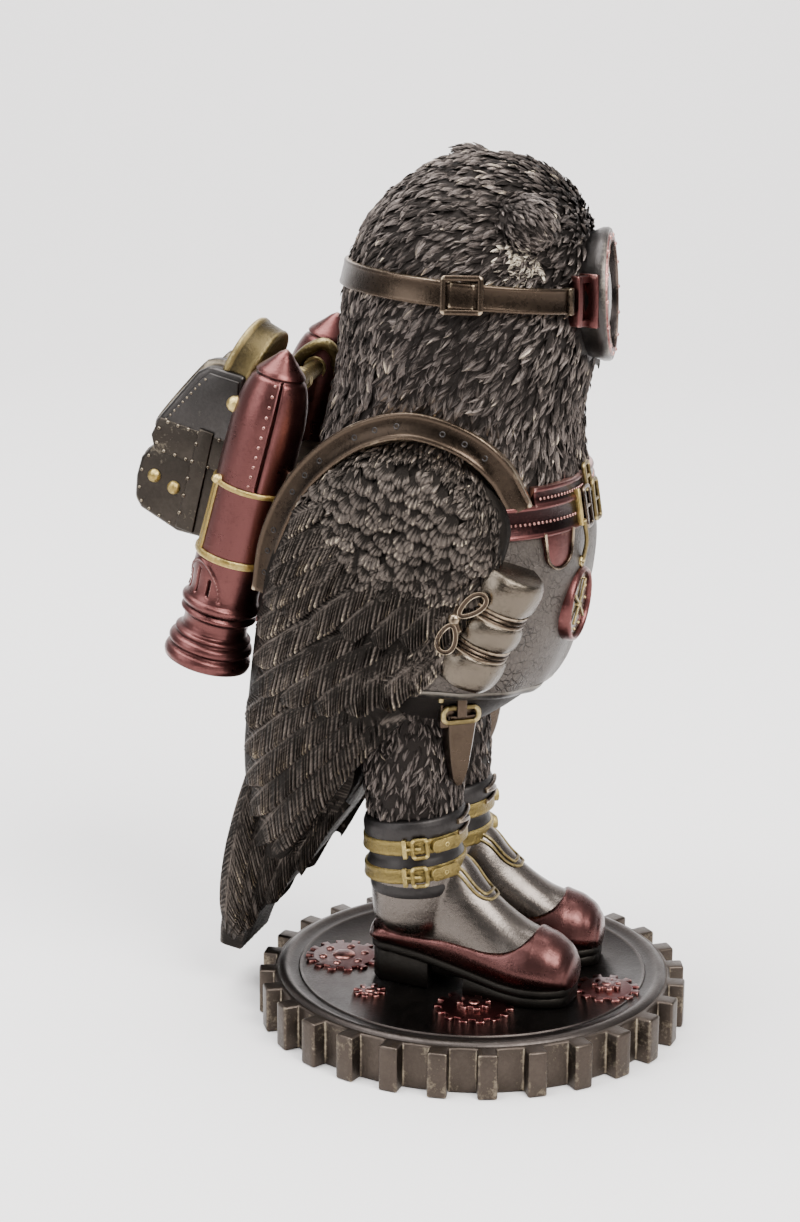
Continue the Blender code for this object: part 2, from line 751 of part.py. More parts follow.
# Chest belts: half turn round the chest in degrees, height in grid steps, width
CHEST_BELTS = ((58.0, 92.5, BELT_WIDTH), (30.0, 97.6, UPPER_BELT_WIDTH))

# Apron, in grid steps: height, how far it stands off the torso
APRON = ((90.0, 0.2), (80.0, 0.5), (69.0, 0.6), (61.4, 1.6), (59.4, 1.4))
APRON_HALF_TURN = 96.0
APRON_INSIDE = 4.0


def spread(half_turn, count):
    """Evenly spaced angles to both sides of the front, from degrees."""
    return [math.radians(half_turn) * (2 * k / (count - 1) - 1) for k in range(count)]


def chest():
    """Belts across the chest with their buckles, the tab and the watch."""
    pieces = []
    for half_turn, height, width in CHEST_BELTS:
        angles = spread(half_turn, 8)
        points = [torso_point(a, height) for a in angles]
        normals = [torso_normal(a, height) for a in angles]
        pieces.append(ribbon(points, normals, width, BELT_PROUD))
    for turn, height, wide, tall in CHEST_PLATES:
        size = (wide * STEP, tall * STEP, PLATE_THICKNESS)
        pieces.append(plate(math.radians(turn), height, size, 0.5))
    return pieces + watch()


def watch():
    """Pocket watch with a raised rim and its crown."""
    radius = WATCH_RADIUS
    thick = WATCH_THICKNESS
    face = thick * 0.55
    place = torso_point(WATCH_TURN, WATCH_PLACE)
    outward = torso_normal(WATCH_TURN, WATCH_PLACE)
    axis = Vector([way * share for way, share in zip(outward, WATCH_FACING)]).normalized()
    profile = ((radius * 0.9, -WATCH_SINK), (radius, 0.0), (radius, thick * 0.7), (radius * 0.92, thick),
               (radius * 0.76, thick), (radius * 0.74, face), (radius * 0.3, face))
    crown = place + Vector((0, -CROWN_WIDTH / 4, radius + CROWN_HEIGHT / 3))
    size = (CROWN_WIDTH, CROWN_WIDTH, CROWN_HEIGHT)
    return [turned(profile, 18, place, axis), slab(crown, size, ((1, 0, 0), (0, 1, 0), (0, 0, 1)))]


def plate(angle, height, size, out):
    """Small square plate that lies on the torso or head."""
    normal = torso_normal(angle, height)
    around = Vector((0, 0, 1)).cross(normal).normalized()
    up = normal.cross(around).normalized()
    return slab(torso_point(angle, height, out), size, (around, up, normal))


def apron():
    """Leather apron below the belt with a hem that stands out over the legs."""
    rings = []
    for height, out in APRON:
        back, front, _ = curve(TORSO, height)
        inside = grid(0, (back + front) / 2 + APRON_INSIDE, height)
        rings.append([torso_point(a, height, out) for a in spread(APRON_HALF_TURN, 13)] + [inside])
    return loft(rings)


# Bedroll on the owl's right, in grid steps: middles of its ends
BEDROLL_TOP = (23.0, -13.2, 84.4)
BEDROLL_LOW = (22.4, -3.6, 64.6)

# Half of its turned shape, from an end to the middle: share of its length, share of its radius
BEDROLL_SHAPE = ((0.0, 0.6), (0.04, 0.9), (0.16, 1.0), (0.29, 0.98), (0.34, 0.86), (0.39, 1.0), (0.5, 1.05))
BOW_SHAPE = ((0.12, -1.05), (0.32, -0.7), (0.15, 0.0), (0.32, 0.7), (0.12, 1.05))
BOW_FACING = (1.0, 0.26)

# Garter on a thigh, in grid steps: place of its buckle, then places (x, y, z) and half widths down its sheath
GARTER_PLACE = (16.6, -1.2, 57.3)
GARTER_FACING = (0.8, -0.6)
SHEATH = ((16.8, -2.0, 54.6, 3.0), (15.8, -1.4, 48.0, 2.4), (14.4, -0.6, 41.5, 0.8))
SHEATH_SECTION = ((-1, -3.0), (-1, 1.1), (1, 1.1), (1, -3.0))


def bedroll(side):
    """Rolled blanket in three bulges under the wing's front edge, with a bow on it."""
    top, low = (grid(side * x, y, z) for x, y, z in (BEDROLL_TOP, BEDROLL_LOW))
    axis = (low - top).normalized()
    middle = (top + low) / 2
    mirrored = [(1 - share, size) for share, size in reversed(BEDROLL_SHAPE[:-1])]
    profile = [(BEDROLL_RADIUS * size, BEDROLL_LENGTH * share) for share, size in (*BEDROLL_SHAPE, *mirrored)]
    roll = turned(profile, 12, middle - axis * BEDROLL_LENGTH / 2, axis)
    outward = Vector((side * BOW_FACING[0], BOW_FACING[1], 0))
    outward = (outward - axis * outward.dot(axis)).normalized()
    bow = [(BEDROLL_RADIUS * size, BEDROLL_RADIUS * share) for size, share in BOW_SHAPE]
    return [roll, turned(bow, 6, middle + outward * BEDROLL_RADIUS, axis)]


def garter(side):
    """Buckle and hanging sheath on the outer front of a thigh."""
    x, y, z = GARTER_PLACE
    up = Vector((0, 0, 1))
    normal = Vector((side * GARTER_FACING[0], GARTER_FACING[1], 0))
    around = up.cross(normal)
    frame = slab(grid(side * x, y, z), (GARTER_WIDTH, GARTER_HEIGHT, GARTER_THICKNESS), (around, up, normal))
    rings = []
    for x, y, z, wide in SHEATH:
        middle = grid(side * x, y, z)
        rings.append([middle + (around * wide * a + normal * b) * STEP for a, b in SHEATH_SECTION])
    return [frame, loft(rings)]


# Share of the figure's triangles that is kept when the slivers between its pieces are collapsed
FIGURE_SHARE = 0.76


def owl_figure():
    """The owl with everything that it wears, cast as one."""
    pieces = [torso(), tail(), apron(), beak()]
    pieces += goggles() + ear_tufts() + chest()
    for side in (-1, 1):
        pieces += [wing(side), harness(side), feathered_leg(side)]
        pieces += boot(side) + garter(side)
    pieces += bedroll(-1)
    finished("owl_figure", combined(pieces), FIGURE_SHARE)


# Jet pack: profile of a tank as shares of its radius and length, nozzle first
TANK_PROFILE = (
    (1.10, 0.000), (1.20, 0.035), (1.06, 0.050), (1.14, 0.075), (0.92, 0.125), (1.00, 0.160), (1.00, 0.790),
    (0.94, 0.850), (0.80, 0.900), (0.60, 0.928), (0.34, 0.970), (0.06, 1.000),
)
TANK_SIDES = 12
TANK_BANDS = (0.335, 0.585)

# Front of the tanks at their nozzles, in grid steps (y, z): they stand clear of the wings and tail
TANK_FRONT = (42.1, 61.4)

# Box outline between the tanks, in grid steps (y, z), down to the pouch under it
BOX_OUTLINE = (
    (42.0, 112.6), (50.0, 114.2), (52.4, 112.8), (62.2, 99.8), (61.4, 97.8), (63.6, 96.2), (64.6, 89.0),
    (63.2, 86.2), (55.6, 83.4), (45.0, 85.0),
)
BOX_MIDDLE = (55.0, 98.0)
BOX_CHAMFER = 0.94
GAUGE_PLACE = (-2.0, 43.2, 115.2)
GAUGE_AXIS = (0.0, 0.88, 0.47)
PIPE_PLACE = 0.84
BACK_PLATE_PLACE = 0.46
BACK_PLATE_SEAT = 0.0018


def tank_axis():
    return Vector((0, -math.sin(TANK_LEAN), math.cos(TANK_LEAN)))


def tank_point(side, share):
    """Point on a tank's axis at a share of its length. Side 0 is midway between the tanks.

    The tank on the owl's left sits higher.
    """
    y, z = TANK_FRONT
    foot = grid(0, y, z) + Vector((side * TANK_SPACING / 2, TANK_RADIUS, side * TANK_STAGGER / 2))
    return foot + tank_axis() * share * TANK_LENGTH


def tank(side):
    """Rocket tank with a pointed cap, two bands and a flared nozzle."""
    profile = [(share * TANK_RADIUS, place * TANK_LENGTH) for share, place in TANK_PROFILE]
    pieces = [turned(profile, TANK_SIDES, tank_point(side, 0.0), tank_axis())]
    half = TANK_BAND_WIDTH / 2
    inner = TANK_RADIUS * 0.8
    outer = TANK_RADIUS + TANK_BAND_PROUD
    band = ((inner, -half), (outer, -half), (outer, half), (inner, half))
    for place in TANK_BANDS:
        pieces.append(turned(band, TANK_SIDES, tank_point(side, place), tank_axis()))
    return pieces


def box():
    """Riveted box with its pouch, seated in the tanks on both sides."""
    half = TANK_SPACING / 2 - TANK_RADIUS + BOX_SEAT
    middle_y, middle_z = BOX_MIDDLE
    rings = []
    for x, size in ((-half, BOX_CHAMFER), (-half * 0.9, 1.0), (half * 0.9, 1.0), (half, BOX_CHAMFER)):
        rings.append([grid(x / STEP, middle_y + (y - middle_y) * size, middle_z + (z - middle_z) * size)
                      for y, z in BOX_OUTLINE])
    return loft(rings)


def gauge():
    """Gauge drum over the box with a raised rim."""
    depth = GAUGE_THICKNESS
    radius = GAUGE_RADIUS
    face = depth * 0.34
    profile = ((radius * 0.9, -depth / 2), (radius, -depth * 0.42), (radius, depth * 0.32),
               (radius * 0.86, depth / 2), (radius * 0.66, depth / 2), (radius * 0.64, face),
               (radius * 0.3, face))
    return turned(profile, 14, grid(*GAUGE_PLACE), GAUGE_AXIS)


def pipe():
    """Pipe that joins the necks of the two tanks."""
    start = tank_point(-1, PIPE_PLACE)
    run = tank_point(1, PIPE_PLACE) - start
    return turned(((PIPE_RADIUS, 0.0), (PIPE_RADIUS, run.length)), 8, start, run)


def back_plate():
    """Plate that carries the tanks and reaches to the owl's back."""
    rear = Vector((0, math.cos(TANK_LEAN), math.sin(TANK_LEAN)))
    middle = tank_point(0, BACK_PLATE_PLACE) - rear * (BACK_PLATE_SEAT + BACK_PLATE_REACH / 2)
    size = (BACK_PLATE_WIDTH, BACK_PLATE_REACH, BACK_PLATE_HEIGHT)
    return slab(middle, size, ((1, 0, 0), rear, tank_axis()))


def back_clearance():
    """The owl's back with its tufts, grown by the fit gap, to trim the jet pack against it."""
    grow = TUFT_OUT + 0.35 + FIT_GAP / STEP
    heights = [height for height, *_ in TORSO if 50 < height < 135]
    return loft([[torso_point(a, height, grow) for a in circle(36)] for height in heights])


def jet_pack():
    """The two tanks with all that stands between them."""
    pieces = [*tank(-1), *tank(1), box(), gauge(), pipe(), back_plate()]
    finished("jet_pack", combined([combined(pieces), back_clearance()], "DIFFERENCE"))


def main():
    clear_scene()
    gear_plinth()
    owl_figure()
    jet_pack()


main()
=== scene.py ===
"""Looks of the owl sculpture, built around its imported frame.

Metres, +Z up. The owl faces -Y and its left side is +X. Places on the figure are written in grid steps,
of which there are 155 from the soles to the crown.
"""
import math

import bmesh
import bpy
import numpy as np
from mathutils import Matrix, Vector


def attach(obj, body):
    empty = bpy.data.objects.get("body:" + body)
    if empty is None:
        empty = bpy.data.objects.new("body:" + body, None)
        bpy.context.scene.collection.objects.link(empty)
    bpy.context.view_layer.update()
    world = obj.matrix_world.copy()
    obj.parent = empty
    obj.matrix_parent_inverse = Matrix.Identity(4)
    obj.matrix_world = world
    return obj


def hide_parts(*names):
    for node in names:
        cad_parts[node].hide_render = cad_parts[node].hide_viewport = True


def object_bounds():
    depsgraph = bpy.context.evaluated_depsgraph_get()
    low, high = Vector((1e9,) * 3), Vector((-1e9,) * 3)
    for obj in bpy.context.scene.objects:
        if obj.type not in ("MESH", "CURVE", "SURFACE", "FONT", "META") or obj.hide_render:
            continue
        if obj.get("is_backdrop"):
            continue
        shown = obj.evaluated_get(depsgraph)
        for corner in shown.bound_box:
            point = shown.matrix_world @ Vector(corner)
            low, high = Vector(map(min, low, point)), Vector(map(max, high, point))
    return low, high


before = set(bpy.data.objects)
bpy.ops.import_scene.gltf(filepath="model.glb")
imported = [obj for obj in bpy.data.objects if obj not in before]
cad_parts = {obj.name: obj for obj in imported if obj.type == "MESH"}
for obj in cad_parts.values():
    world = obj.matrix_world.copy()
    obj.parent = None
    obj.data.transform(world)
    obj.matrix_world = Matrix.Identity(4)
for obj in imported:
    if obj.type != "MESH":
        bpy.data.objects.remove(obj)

CAD_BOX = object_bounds()
RANDOM = np.random.default_rng(7)

# Driving sizes, as in the frame
PLINTH_RADIUS = 0.0410
PLINTH_THICKNESS = 0.0087
PLINTH_TEETH = 28
TOOTH_DEPTH = 0.0029
TOOTH_SHARE = 0.40
FIRST_TOOTH_TURN = math.radians(7.6)
RIM_WIDTH = 0.0019
FIGURE_HEIGHT = 0.1553
HEAD_TURN = math.radians(34.0)
FIT_GAP = 0.0003
STEP = FIGURE_HEIGHT / 155.0
GROUND = PLINTH_THICKNESS + FIT_GAP
DECK_RADIUS = PLINTH_RADIUS - TOOTH_DEPTH - RIM_WIDTH
MM = 0.001
UP = np.array((0.0, 0.0, 1.0))
SIDES = ((-1, "right"), (1, "left"))
SHARP_EDGE = math.radians(50)
BEVELLED_EDGE = math.radians(30)
ODD_WAY = (0.31, 0.52, 0.79)

# Camera, fitted to the photograph
CAMERA_PLACE = Vector((-0.43550, -0.12488, 0.20060))
CAMERA_TARGET = Vector((-0.00398, 0.01389, 0.0793))
CAMERA_ROLL = math.radians(0.47)
CAMERA_LENS = 113.39


# Points and meshes

def grid(x, y, z):
    """Points of the figure's grid in metres."""
    x, y, z = np.broadcast_arrays(np.asarray(x, float), y, z)
    return np.stack((x * STEP, y * STEP, z * STEP + GROUND), axis=-1)


def unit(vectors):
    return vectors / np.maximum(np.linalg.norm(vectors, axis=-1, keepdims=True), 1e-12)


def curve(table, at):
    """Smooth rows of values through a table of (place, value, ...) rows, at an array of places."""
    rows = np.array(sorted(table), float)
    places, values = rows[:, 0], rows[:, 1:]
    slopes = np.gradient(values, places, axis=0)
    at = np.clip(np.asarray(at, float), places[0], places[-1])
    k = np.clip(np.searchsorted(places, at, "right") - 1, 0, len(places) - 2)
    width = (places[k + 1] - places[k])[..., None]
    s = (at - places[k])[..., None] / width
    return ((2 * s**3 - 3 * s**2 + 1) * values[k] + (s**3 - 2 * s**2 + s) * width * slopes[k]
            + (3 * s**2 - 2 * s**3) * values[k + 1] + (s**3 - s**2) * width * slopes[k + 1])


def circle(count):
    return 2 * math.pi * np.arange(count) / count


def build(name, points, face_groups, attributes=()):
    """Mesh object from points and groups of faces, each group an array of corner indices."""
    mesh = bpy.data.meshes.new(name)
    points = np.asarray(points, float).reshape(-1, 3)
    groups = [np.asarray(group, np.int32) for group in face_groups if len(group)]
    corners = np.concatenate([group.reshape(-1) for group in groups])
    sizes = np.concatenate([np.full(len(group), group.shape[1]) for group in groups])
    mesh.vertices.add(len(points))
    mesh.vertices.foreach_set("co", points.astype(np.float32).ravel())
    mesh.loops.add(len(corners))
    mesh.loops.foreach_set("vertex_index", corners)
    mesh.polygons.add(len(sizes))
    mesh.polygons.foreach_set("loop_start", np.concatenate(([0], np.cumsum(sizes)[:-1])).astype(np.int32))
    mesh.update(calc_edges=True)
    for key, values in dict(attributes).items():
        put_attribute(mesh, key, values)
    mesh.validate()
    return linked(name, mesh)


def linked(name, data):
    """New object in the scene."""
    made = bpy.data.objects.new(name, data)
    bpy.context.scene.collection.objects.link(made)
    return made


def put_attribute(mesh, key, values):
    """Stores one number or one vector for each point."""
    values = np.asarray(values, np.float32)
    kind = "FLOAT" if values.ndim == 1 else "FLOAT_VECTOR"
    attribute = mesh.attributes.get(key) or mesh.attributes.new(key, kind, "POINT")
    attribute.data.foreach_set("value" if kind == "FLOAT" else "vector", values.ravel())


def ring_faces(rings, count, closed=False):
    """Quads between neighbouring rings of points."""
    k, i = np.meshgrid(np.arange(rings if closed else rings - 1), np.arange(count), indexing="ij")
    j, after = (i + 1) % count, (k + 1) % rings
    quads = np.stack((k * count + i, k * count + j, after * count + j, after * count + i), axis=-1)
    return quads.reshape(-1, 4)


def loft(name, rings, attributes=(), closed=False):
    """Closed body through rings of points."""
    rings = np.asarray(rings, float)
    total, count = rings.shape[:2]
    faces = [ring_faces(total, count, closed)]
    if not closed:
        faces.append(np.arange(count)[None, ::-1])
        faces.append(np.arange(count)[None] + (total - 1) * count)
    return outward(build(name, rings, faces, attributes))


def turned(name, profile, sides, place, axis):
    """Body turned from (radius, height) points about an axis that starts at a place."""
    axis = unit(np.array(axis, float))
    side = unit(np.cross(UP, axis) + np.array((1e-9, 0, 0)))
    other = np.cross(axis, side)
    a = circle(sides)[None, :, None]
    radius, height = (np.array(column)[:, None, None] for column in zip(*profile))
    return loft(name, np.asarray(place) + axis * height + radius * (side * np.cos(a) + other * np.sin(a)))


def slab(name, center, size, axes, bevel=0.0):
    """Box of a size about a centre along three unit axes, with rounded edges."""
    half = [np.array(axis, float) * extent / 2 for axis, extent in zip(axes, size)]
    corners = ((-1, -1), (1, -1), (1, 1), (-1, 1))
    rings = [[center + half[0] * a + half[1] * b + half[2] * c for a, b in corners] for c in (-1, 1)]
    made = loft(name, rings)
    if bevel:
        rounded(made, bevel)
    return made


def scaled(profile, across, along=1.0):
    """Profile with its first values scaled by one size and its second values by another."""
    return [(a * across, b * along) for a, b in profile]


def rounded(thing, width, segments=2):
    """Bevels the sharp edges and applies it."""
    bevel = thing.modifiers.new("bevel", "BEVEL")
    bevel.width = width
    bevel.segments = segments
    bevel.limit_method = "ANGLE"
    bevel.angle_limit = BEVELLED_EDGE
    return applied(thing)


def applied(thing):
    """Applies the modifiers of an object."""
    bpy.context.view_layer.update()
    graph = bpy.context.evaluated_depsgraph_get()
    data = bpy.data.meshes.new_from_object(thing.evaluated_get(graph))
    thing.modifiers.clear()
    thing.data = data
    return thing


def joined(name, things):
    """One object of several, keeping their point attributes."""
    merged = bmesh.new()
    for thing in things:
        merged.from_mesh(thing.data)
    data = bpy.data.meshes.new(name)
    merged.to_mesh(data)
    merged.free()
    for thing in things:
        bpy.data.objects.remove(thing, do_unlink=True)
    return linked(name, data)


def outward(thing):
    """Turns every closed shell's faces outwards."""
    mesh = bmesh.new()
    mesh.from_mesh(thing.data)
    bmesh.ops.recalc_face_normals(mesh, faces=mesh.faces)
    mesh.to_mesh(thing.data)
    mesh.free()
    return thing


def read(items, key, width, kind=np.float32):
    """Rows of values, one for each item of a mesh."""
    values = np.empty(len(items) * width, kind)
    items.foreach_get(key, values)
    return values.reshape(-1, width)


def mark_wear(thing, gain=2.2, spread=1):
    """Stores how far each point stands out of its neighbours: above 0 on edges and below 0 in grooves."""
    mesh = thing.data
    count = len(mesh.vertices)
    points = read(mesh.vertices, "co", 3)
    normals = read(mesh.vertex_normals, "vector", 3)
    a, b = read(mesh.edges, "vertices", 2, np.int32).T
    degree = np.maximum(np.bincount(np.concatenate((a, b)), minlength=count), 1)

    def around(values):
        total = np.zeros_like(values)
        np.add.at(total, a, values[b])
        np.add.at(total, b, values[a])
        return total / degree.reshape((-1,) + (1,) * (values.ndim - 1))

    length = np.linalg.norm(points[a] - points[b], axis=1)
    reach = np.maximum((np.bincount(a, length, count) + np.bincount(b, length, count)) / degree, 1e-9)
    wear = gain * np.einsum("ij,ij->i", points - around(points), normals) / reach
    for _ in range(spread):
        wear = 0.5 * wear + 0.5 * around(wear)
    put_attribute(mesh, "wear", np.clip(wear, -1, 1))
    return thing


def finished(thing, material, slot, *nodes):
    """Shades a piece, gives it its material and lets it ride on the one body. Its slot is not used."""
    thing.data.materials.clear()
    thing.data.materials.append(material)
    thing.data.shade_smooth()
    thing.data.set_sharp_from_angle(angle=SHARP_EDGE)
    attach(thing, "root")
    if nodes:
        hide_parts(*nodes)
    return thing


def even(thing, wear):
    """Stores the same wear for all points."""
    put_attribute(thing.data, "wear", np.full(len(thing.data.vertices), wear))
    return thing


def dressed(thing, material, slot, gain=2.2, spread=1):
    """Finish for a piece whose wear comes from its own edges."""
    return finished(mark_wear(thing, gain, spread), material, slot)


# Materials

class Nodes:
    """Short ways to add nodes to a tree."""

    def __init__(self, tree):
        self.tree = tree

    def add(self, kind, inputs=(), **settings):
        node = self.tree.nodes.new(kind)
        for key, value in settings.items():
            setattr(node, key, value)
        for key, value in dict(inputs).items():
            self.put(node.inputs[key], value)
        return node

    def put(self, socket, value):
        if isinstance(value, bpy.types.NodeSocket):
            self.tree.links.new(value, socket)
        else:
            socket.default_value = value

    def math(self, operation, first, second=0.0, clamp=False):
        node = self.add("ShaderNodeMath", {0: first, 1: second}, operation=operation, use_clamp=clamp)
        return node.outputs[0]

    def span(self, value, low, high, to_low=0.0, to_high=1.0):
        inputs = {"Value": value, "From Min": low, "From Max": high, "To Min": to_low, "To Max": to_high}
        return self.add("ShaderNodeMapRange", inputs).outputs[0]


class Finish(Nodes):
    """One new material with its shader."""

    def __init__(self, name, metallic):
        self.material = bpy.data.materials.new(name)
        self.material.use_nodes = True
        super().__init__(self.material.node_tree)
        self.shader = self.tree.nodes["Principled BSDF"]
        self.shader.inputs["Metallic"].default_value = metallic
        self.place = self.add("ShaderNodeTexCoord").outputs["Object"]

    def sum(self, first, second, share=1.0):
        """The first value plus a share of the second."""
        return self.math("ADD", first, self.math("MULTIPLY", second, share) if share != 1.0 else second)

    def noise(self, scale, detail=4.0, roughness=0.55, place=None):
        inputs = {"Vector": place or self.place, "Scale": scale, "Detail": detail, "Roughness": roughness}
        return self.add("ShaderNodeTexNoise", inputs).outputs[0]

    def stretched(self, scale, place=None):
        """The texture's place, scaled by a different amount along each axis."""
        inputs = {0: place or self.place, 1: scale}
        return self.add("ShaderNodeVectorMath", inputs, operation="MULTIPLY").outputs[0]

    def mix(self, factor, first, second):
        node = self.add("ShaderNodeMix", data_type="RGBA")
        for index, value in ((0, factor), (6, first), (7, second)):
            value = (*value, 1.0) if isinstance(value, tuple) else value
            self.put(node.inputs[index], value)
        return node.outputs[2]

    def attribute(self, name, output="Fac"):
        return self.add("ShaderNodeAttribute", attribute_name=name).outputs[output]

    def bump(self, height, distance, normal=None):
        inputs = {"Height": height, "Distance": distance, "Strength": 1.0}
        if normal:
            inputs["Normal"] = normal
        return self.add("ShaderNodeBump", inputs).outputs[0]

    def done(self, color, roughness, normal):
        for key, value in (("Base Color", color), ("Roughness", roughness), ("Normal", normal)):
            self.put(self.shader.inputs[key], value)
        return self.material


def metal(name, dark, body, rub, roughness, cut=0.30, grain=0.00004, brushed=None):
    """Cast metal finish: body colour, dark in the grooves, rubbed on what stands out."""
    finish = Finish(name, 1.0)
    broad = finish.noise(160.0, 5.0)
    fine = finish.noise(1500.0, 5.0, 0.65)
    spots = finish.sum(finish.math("MULTIPLY", broad, 0.55), fine, 0.45)
    level = finish.sum(finish.attribute("wear"), finish.span(spots, 0.2, 0.8, -0.3, 0.3))
    color = finish.mix(finish.span(level, -0.45, 0.05), dark, body)
    color = finish.mix(finish.span(spots, 0.38, 0.66, 0.0, 0.45), color, dark)
    color = finish.mix(finish.span(level, cut, cut + 0.30), color, rub)
    rough = finish.span(spots, 0.3, 0.7, roughness * 0.75, min(1.0, roughness * 1.4))
    normal = finish.bump(finish.sum(fine, broad, 1.5), grain)
    if brushed:
        lines = finish.noise(1.0, 3.0, 0.6, finish.stretched(brushed))
        normal = finish.bump(lines, grain * 1.2, normal)
    return finish.done(color, rough, normal)


def plumage_finish(name, dark, body, rub):
    """Dark cast feathers: strands along each feather, rubbed on their crests, with a bright worn patch."""
    finish = Finish(name, 1.0)
    strand = finish.attribute("strand", "Vector")
    lines = finish.noise(1.0, 3.0, 0.6, finish.stretched((4200.0, 450.0, 1.0), strand))
    fine = finish.noise(2600.0, 4.0, 0.7)
    crest = finish.attribute("wear")
    for pattern, gain in ((lines, 0.4), (finish.noise(120.0), 0.22), (fine, 0.15)):
        crest = finish.sum(crest, finish.span(pattern, 0.3, 0.7, -gain, gain))
    color = finish.mix(finish.span(crest, -0.25, 0.45), dark, body)
    color = finish.mix(finish.span(crest, 0.70, 1.15), color, rub)
    patch = finish.span(finish.sum(finish.attribute("bright"), crest), 1.2, 1.6)
    color = finish.mix(patch, color, (0.50, 0.44, 0.35))
    rough = finish.span(crest, -0.2, 0.9, 0.62, 0.36)
    return finish.done(color, rough, finish.bump(finish.sum(lines, fine, 0.4), 0.00018))


def crackled_finish(name):
    """Grey-bronze leather with a net of fine dark cracks."""
    finish = Finish(name, 0.9)
    bend = finish.add("ShaderNodeTexNoise", {"Vector": finish.place, "Scale": 700.0}).outputs["Color"]
    bent = finish.add("ShaderNodeVectorMath", {0: finish.place, 1: finish.stretched((0.0012,) * 3, bend)},
                      operation="ADD").outputs[0]
    cells = finish.add("ShaderNodeTexVoronoi", {"Vector": bent, "Scale": 740.0}, feature="DISTANCE_TO_EDGE")
    crack = finish.span(cells.outputs["Distance"], 0.0, 0.13)
    broad = finish.noise(90.0, 5.0)
    fine = finish.noise(2200.0, 4.0, 0.65)
    faint = finish.math("ADD", crack, finish.span(finish.noise(160.0), 0.35, 0.65, 0.0, 0.85), True)
    color = finish.mix(finish.span(broad, 0.3, 0.7), (0.036, 0.031, 0.028), (0.076, 0.065, 0.057))
    color = finish.mix(finish.span(fine, 0.42, 0.66, 0.0, 0.55), color, (0.112, 0.096, 0.083))
    color = finish.mix(faint, (0.022, 0.019, 0.017), color)
    color = finish.mix(finish.span(finish.attribute("wear"), 0.2, 0.6), color, (0.24, 0.21, 0.16))
    normal = finish.bump(finish.sum(faint, fine, 0.5), 0.00010)
    return finish.done(color, finish.span(broad, 0.3, 0.7, 0.40, 0.55), normal)


PLUMAGE = plumage_finish("plumage bronze", (0.020, 0.0170, 0.0155), (0.116, 0.097, 0.088), (0.46, 0.38, 0.28))
WING_BRONZE = plumage_finish("wing bronze", (0.014, 0.0120, 0.0105), (0.088, 0.073, 0.063), (0.46, 0.38, 0.27))
CRACKLED = crackled_finish("crackled leather bronze")

# Cast metals: colour in the grooves, of the body and of the rubbed edges, then roughness,
# the wear from which an edge is rubbed, depth of the grain and density of the brush lines
PLINTH_BRONZE = metal("plinth bronze", (0.024, 0.019, 0.016), (0.064, 0.051, 0.042), (0.36, 0.30, 0.215), 0.40)
DECK_BRONZE = metal("deck bronze", (0.016, 0.013, 0.012), (0.052, 0.044, 0.040), (0.14, 0.11, 0.09), 0.34, 0.5)
COPPER_RED = metal("copper red", (0.015, 0.007, 0.007), (0.122, 0.047, 0.044), (0.50, 0.27, 0.235),
                   0.30, 0.34, 0.00003, (500.0, 500.0, 4000.0))
BOOT_COPPER = metal("boot copper", (0.014, 0.007, 0.007), (0.092, 0.040, 0.037), (0.50, 0.28, 0.245),
                    0.27, 0.26, 0.00005)
COPPER_DARK = metal("relief copper", (0.018, 0.008, 0.008), (0.080, 0.022, 0.022), (0.50, 0.23, 0.20),
                    0.32, 0.24)
BRASS = metal("worn brass", (0.035, 0.026, 0.011), (0.26, 0.185, 0.058), (0.62, 0.48, 0.19),
              0.36, 0.30, 0.00012)
DARK_BRASS = metal("dark brass", (0.028, 0.023, 0.014), (0.15, 0.112, 0.048), (0.50, 0.40, 0.19),
                   0.40, 0.30, 0.00015)
HAMMERED = metal("hammered brass", (0.030, 0.024, 0.012), (0.23, 0.170, 0.058), (0.62, 0.49, 0.20),
                 0.38, 0.30, 0.00034)
PEWTER = metal("pewter", (0.028, 0.024, 0.021), (0.128, 0.110, 0.097), (0.42, 0.375, 0.32), 0.25, 0.35)
SPECKLED = metal("speckled pewter", (0.022, 0.018, 0.014), (0.118, 0.098, 0.076), (0.50, 0.43, 0.33),
                 0.22, 0.30, 0.00009)
STRAP_BRONZE = metal("strap bronze", (0.016, 0.0115, 0.0085), (0.060, 0.043, 0.031), (0.32, 0.25, 0.175),
                     0.27, 0.28)
DARK_GREY = metal("dark grey bronze", (0.009, 0.008, 0.008), (0.038, 0.035, 0.034), (0.15, 0.135, 0.115), 0.42)
SOLE = metal("sole bronze", (0.006, 0.0055, 0.005), (0.018, 0.016, 0.014), (0.12, 0.105, 0.085), 0.48, 0.5)
BOX_GREY = metal("box pewter", (0.013, 0.012, 0.0115), (0.046, 0.042, 0.040), (0.22, 0.195, 0.165), 0.34)
BOX_BROWN = metal("box bronze", (0.010, 0.009, 0.0078), (0.036, 0.030, 0.025), (0.27, 0.225, 0.165), 0.34, 0.28)
LENS = metal("lens bronze", (0.01, 0.009, 0.009), (0.05, 0.042, 0.04), (0.16, 0.12, 0.10), 0.22, 0.6)


# Blades: feathers, tufts and scales

def blade_grid(rows, columns):
    """Places (along, across) on a blade, its top quads and the one face under it."""
    along, across = np.meshgrid(np.linspace(0, 1, rows + 1), np.linspace(-1, 1, columns + 1), indexing="ij")
    index = np.arange(along.size).reshape(along.shape)
    quads = np.stack((index[:-1, :-1], index[1:, :-1], index[1:, 1:], index[:-1, 1:]), axis=-1).reshape(-1, 4)
    rim = np.concatenate((index[0, :-1], index[:-1, -1], index[-1, :0:-1], index[:0:-1, 0]))
    return along.ravel(), across.ravel(), quads, rim


def leaf_width(along):
    """Half width of a pointed leaf as a share, from its root to its tip."""
    return 0.05 + 0.95 * np.sin(np.pi * np.clip(along, 0, 1) ** 0.62) ** 0.8


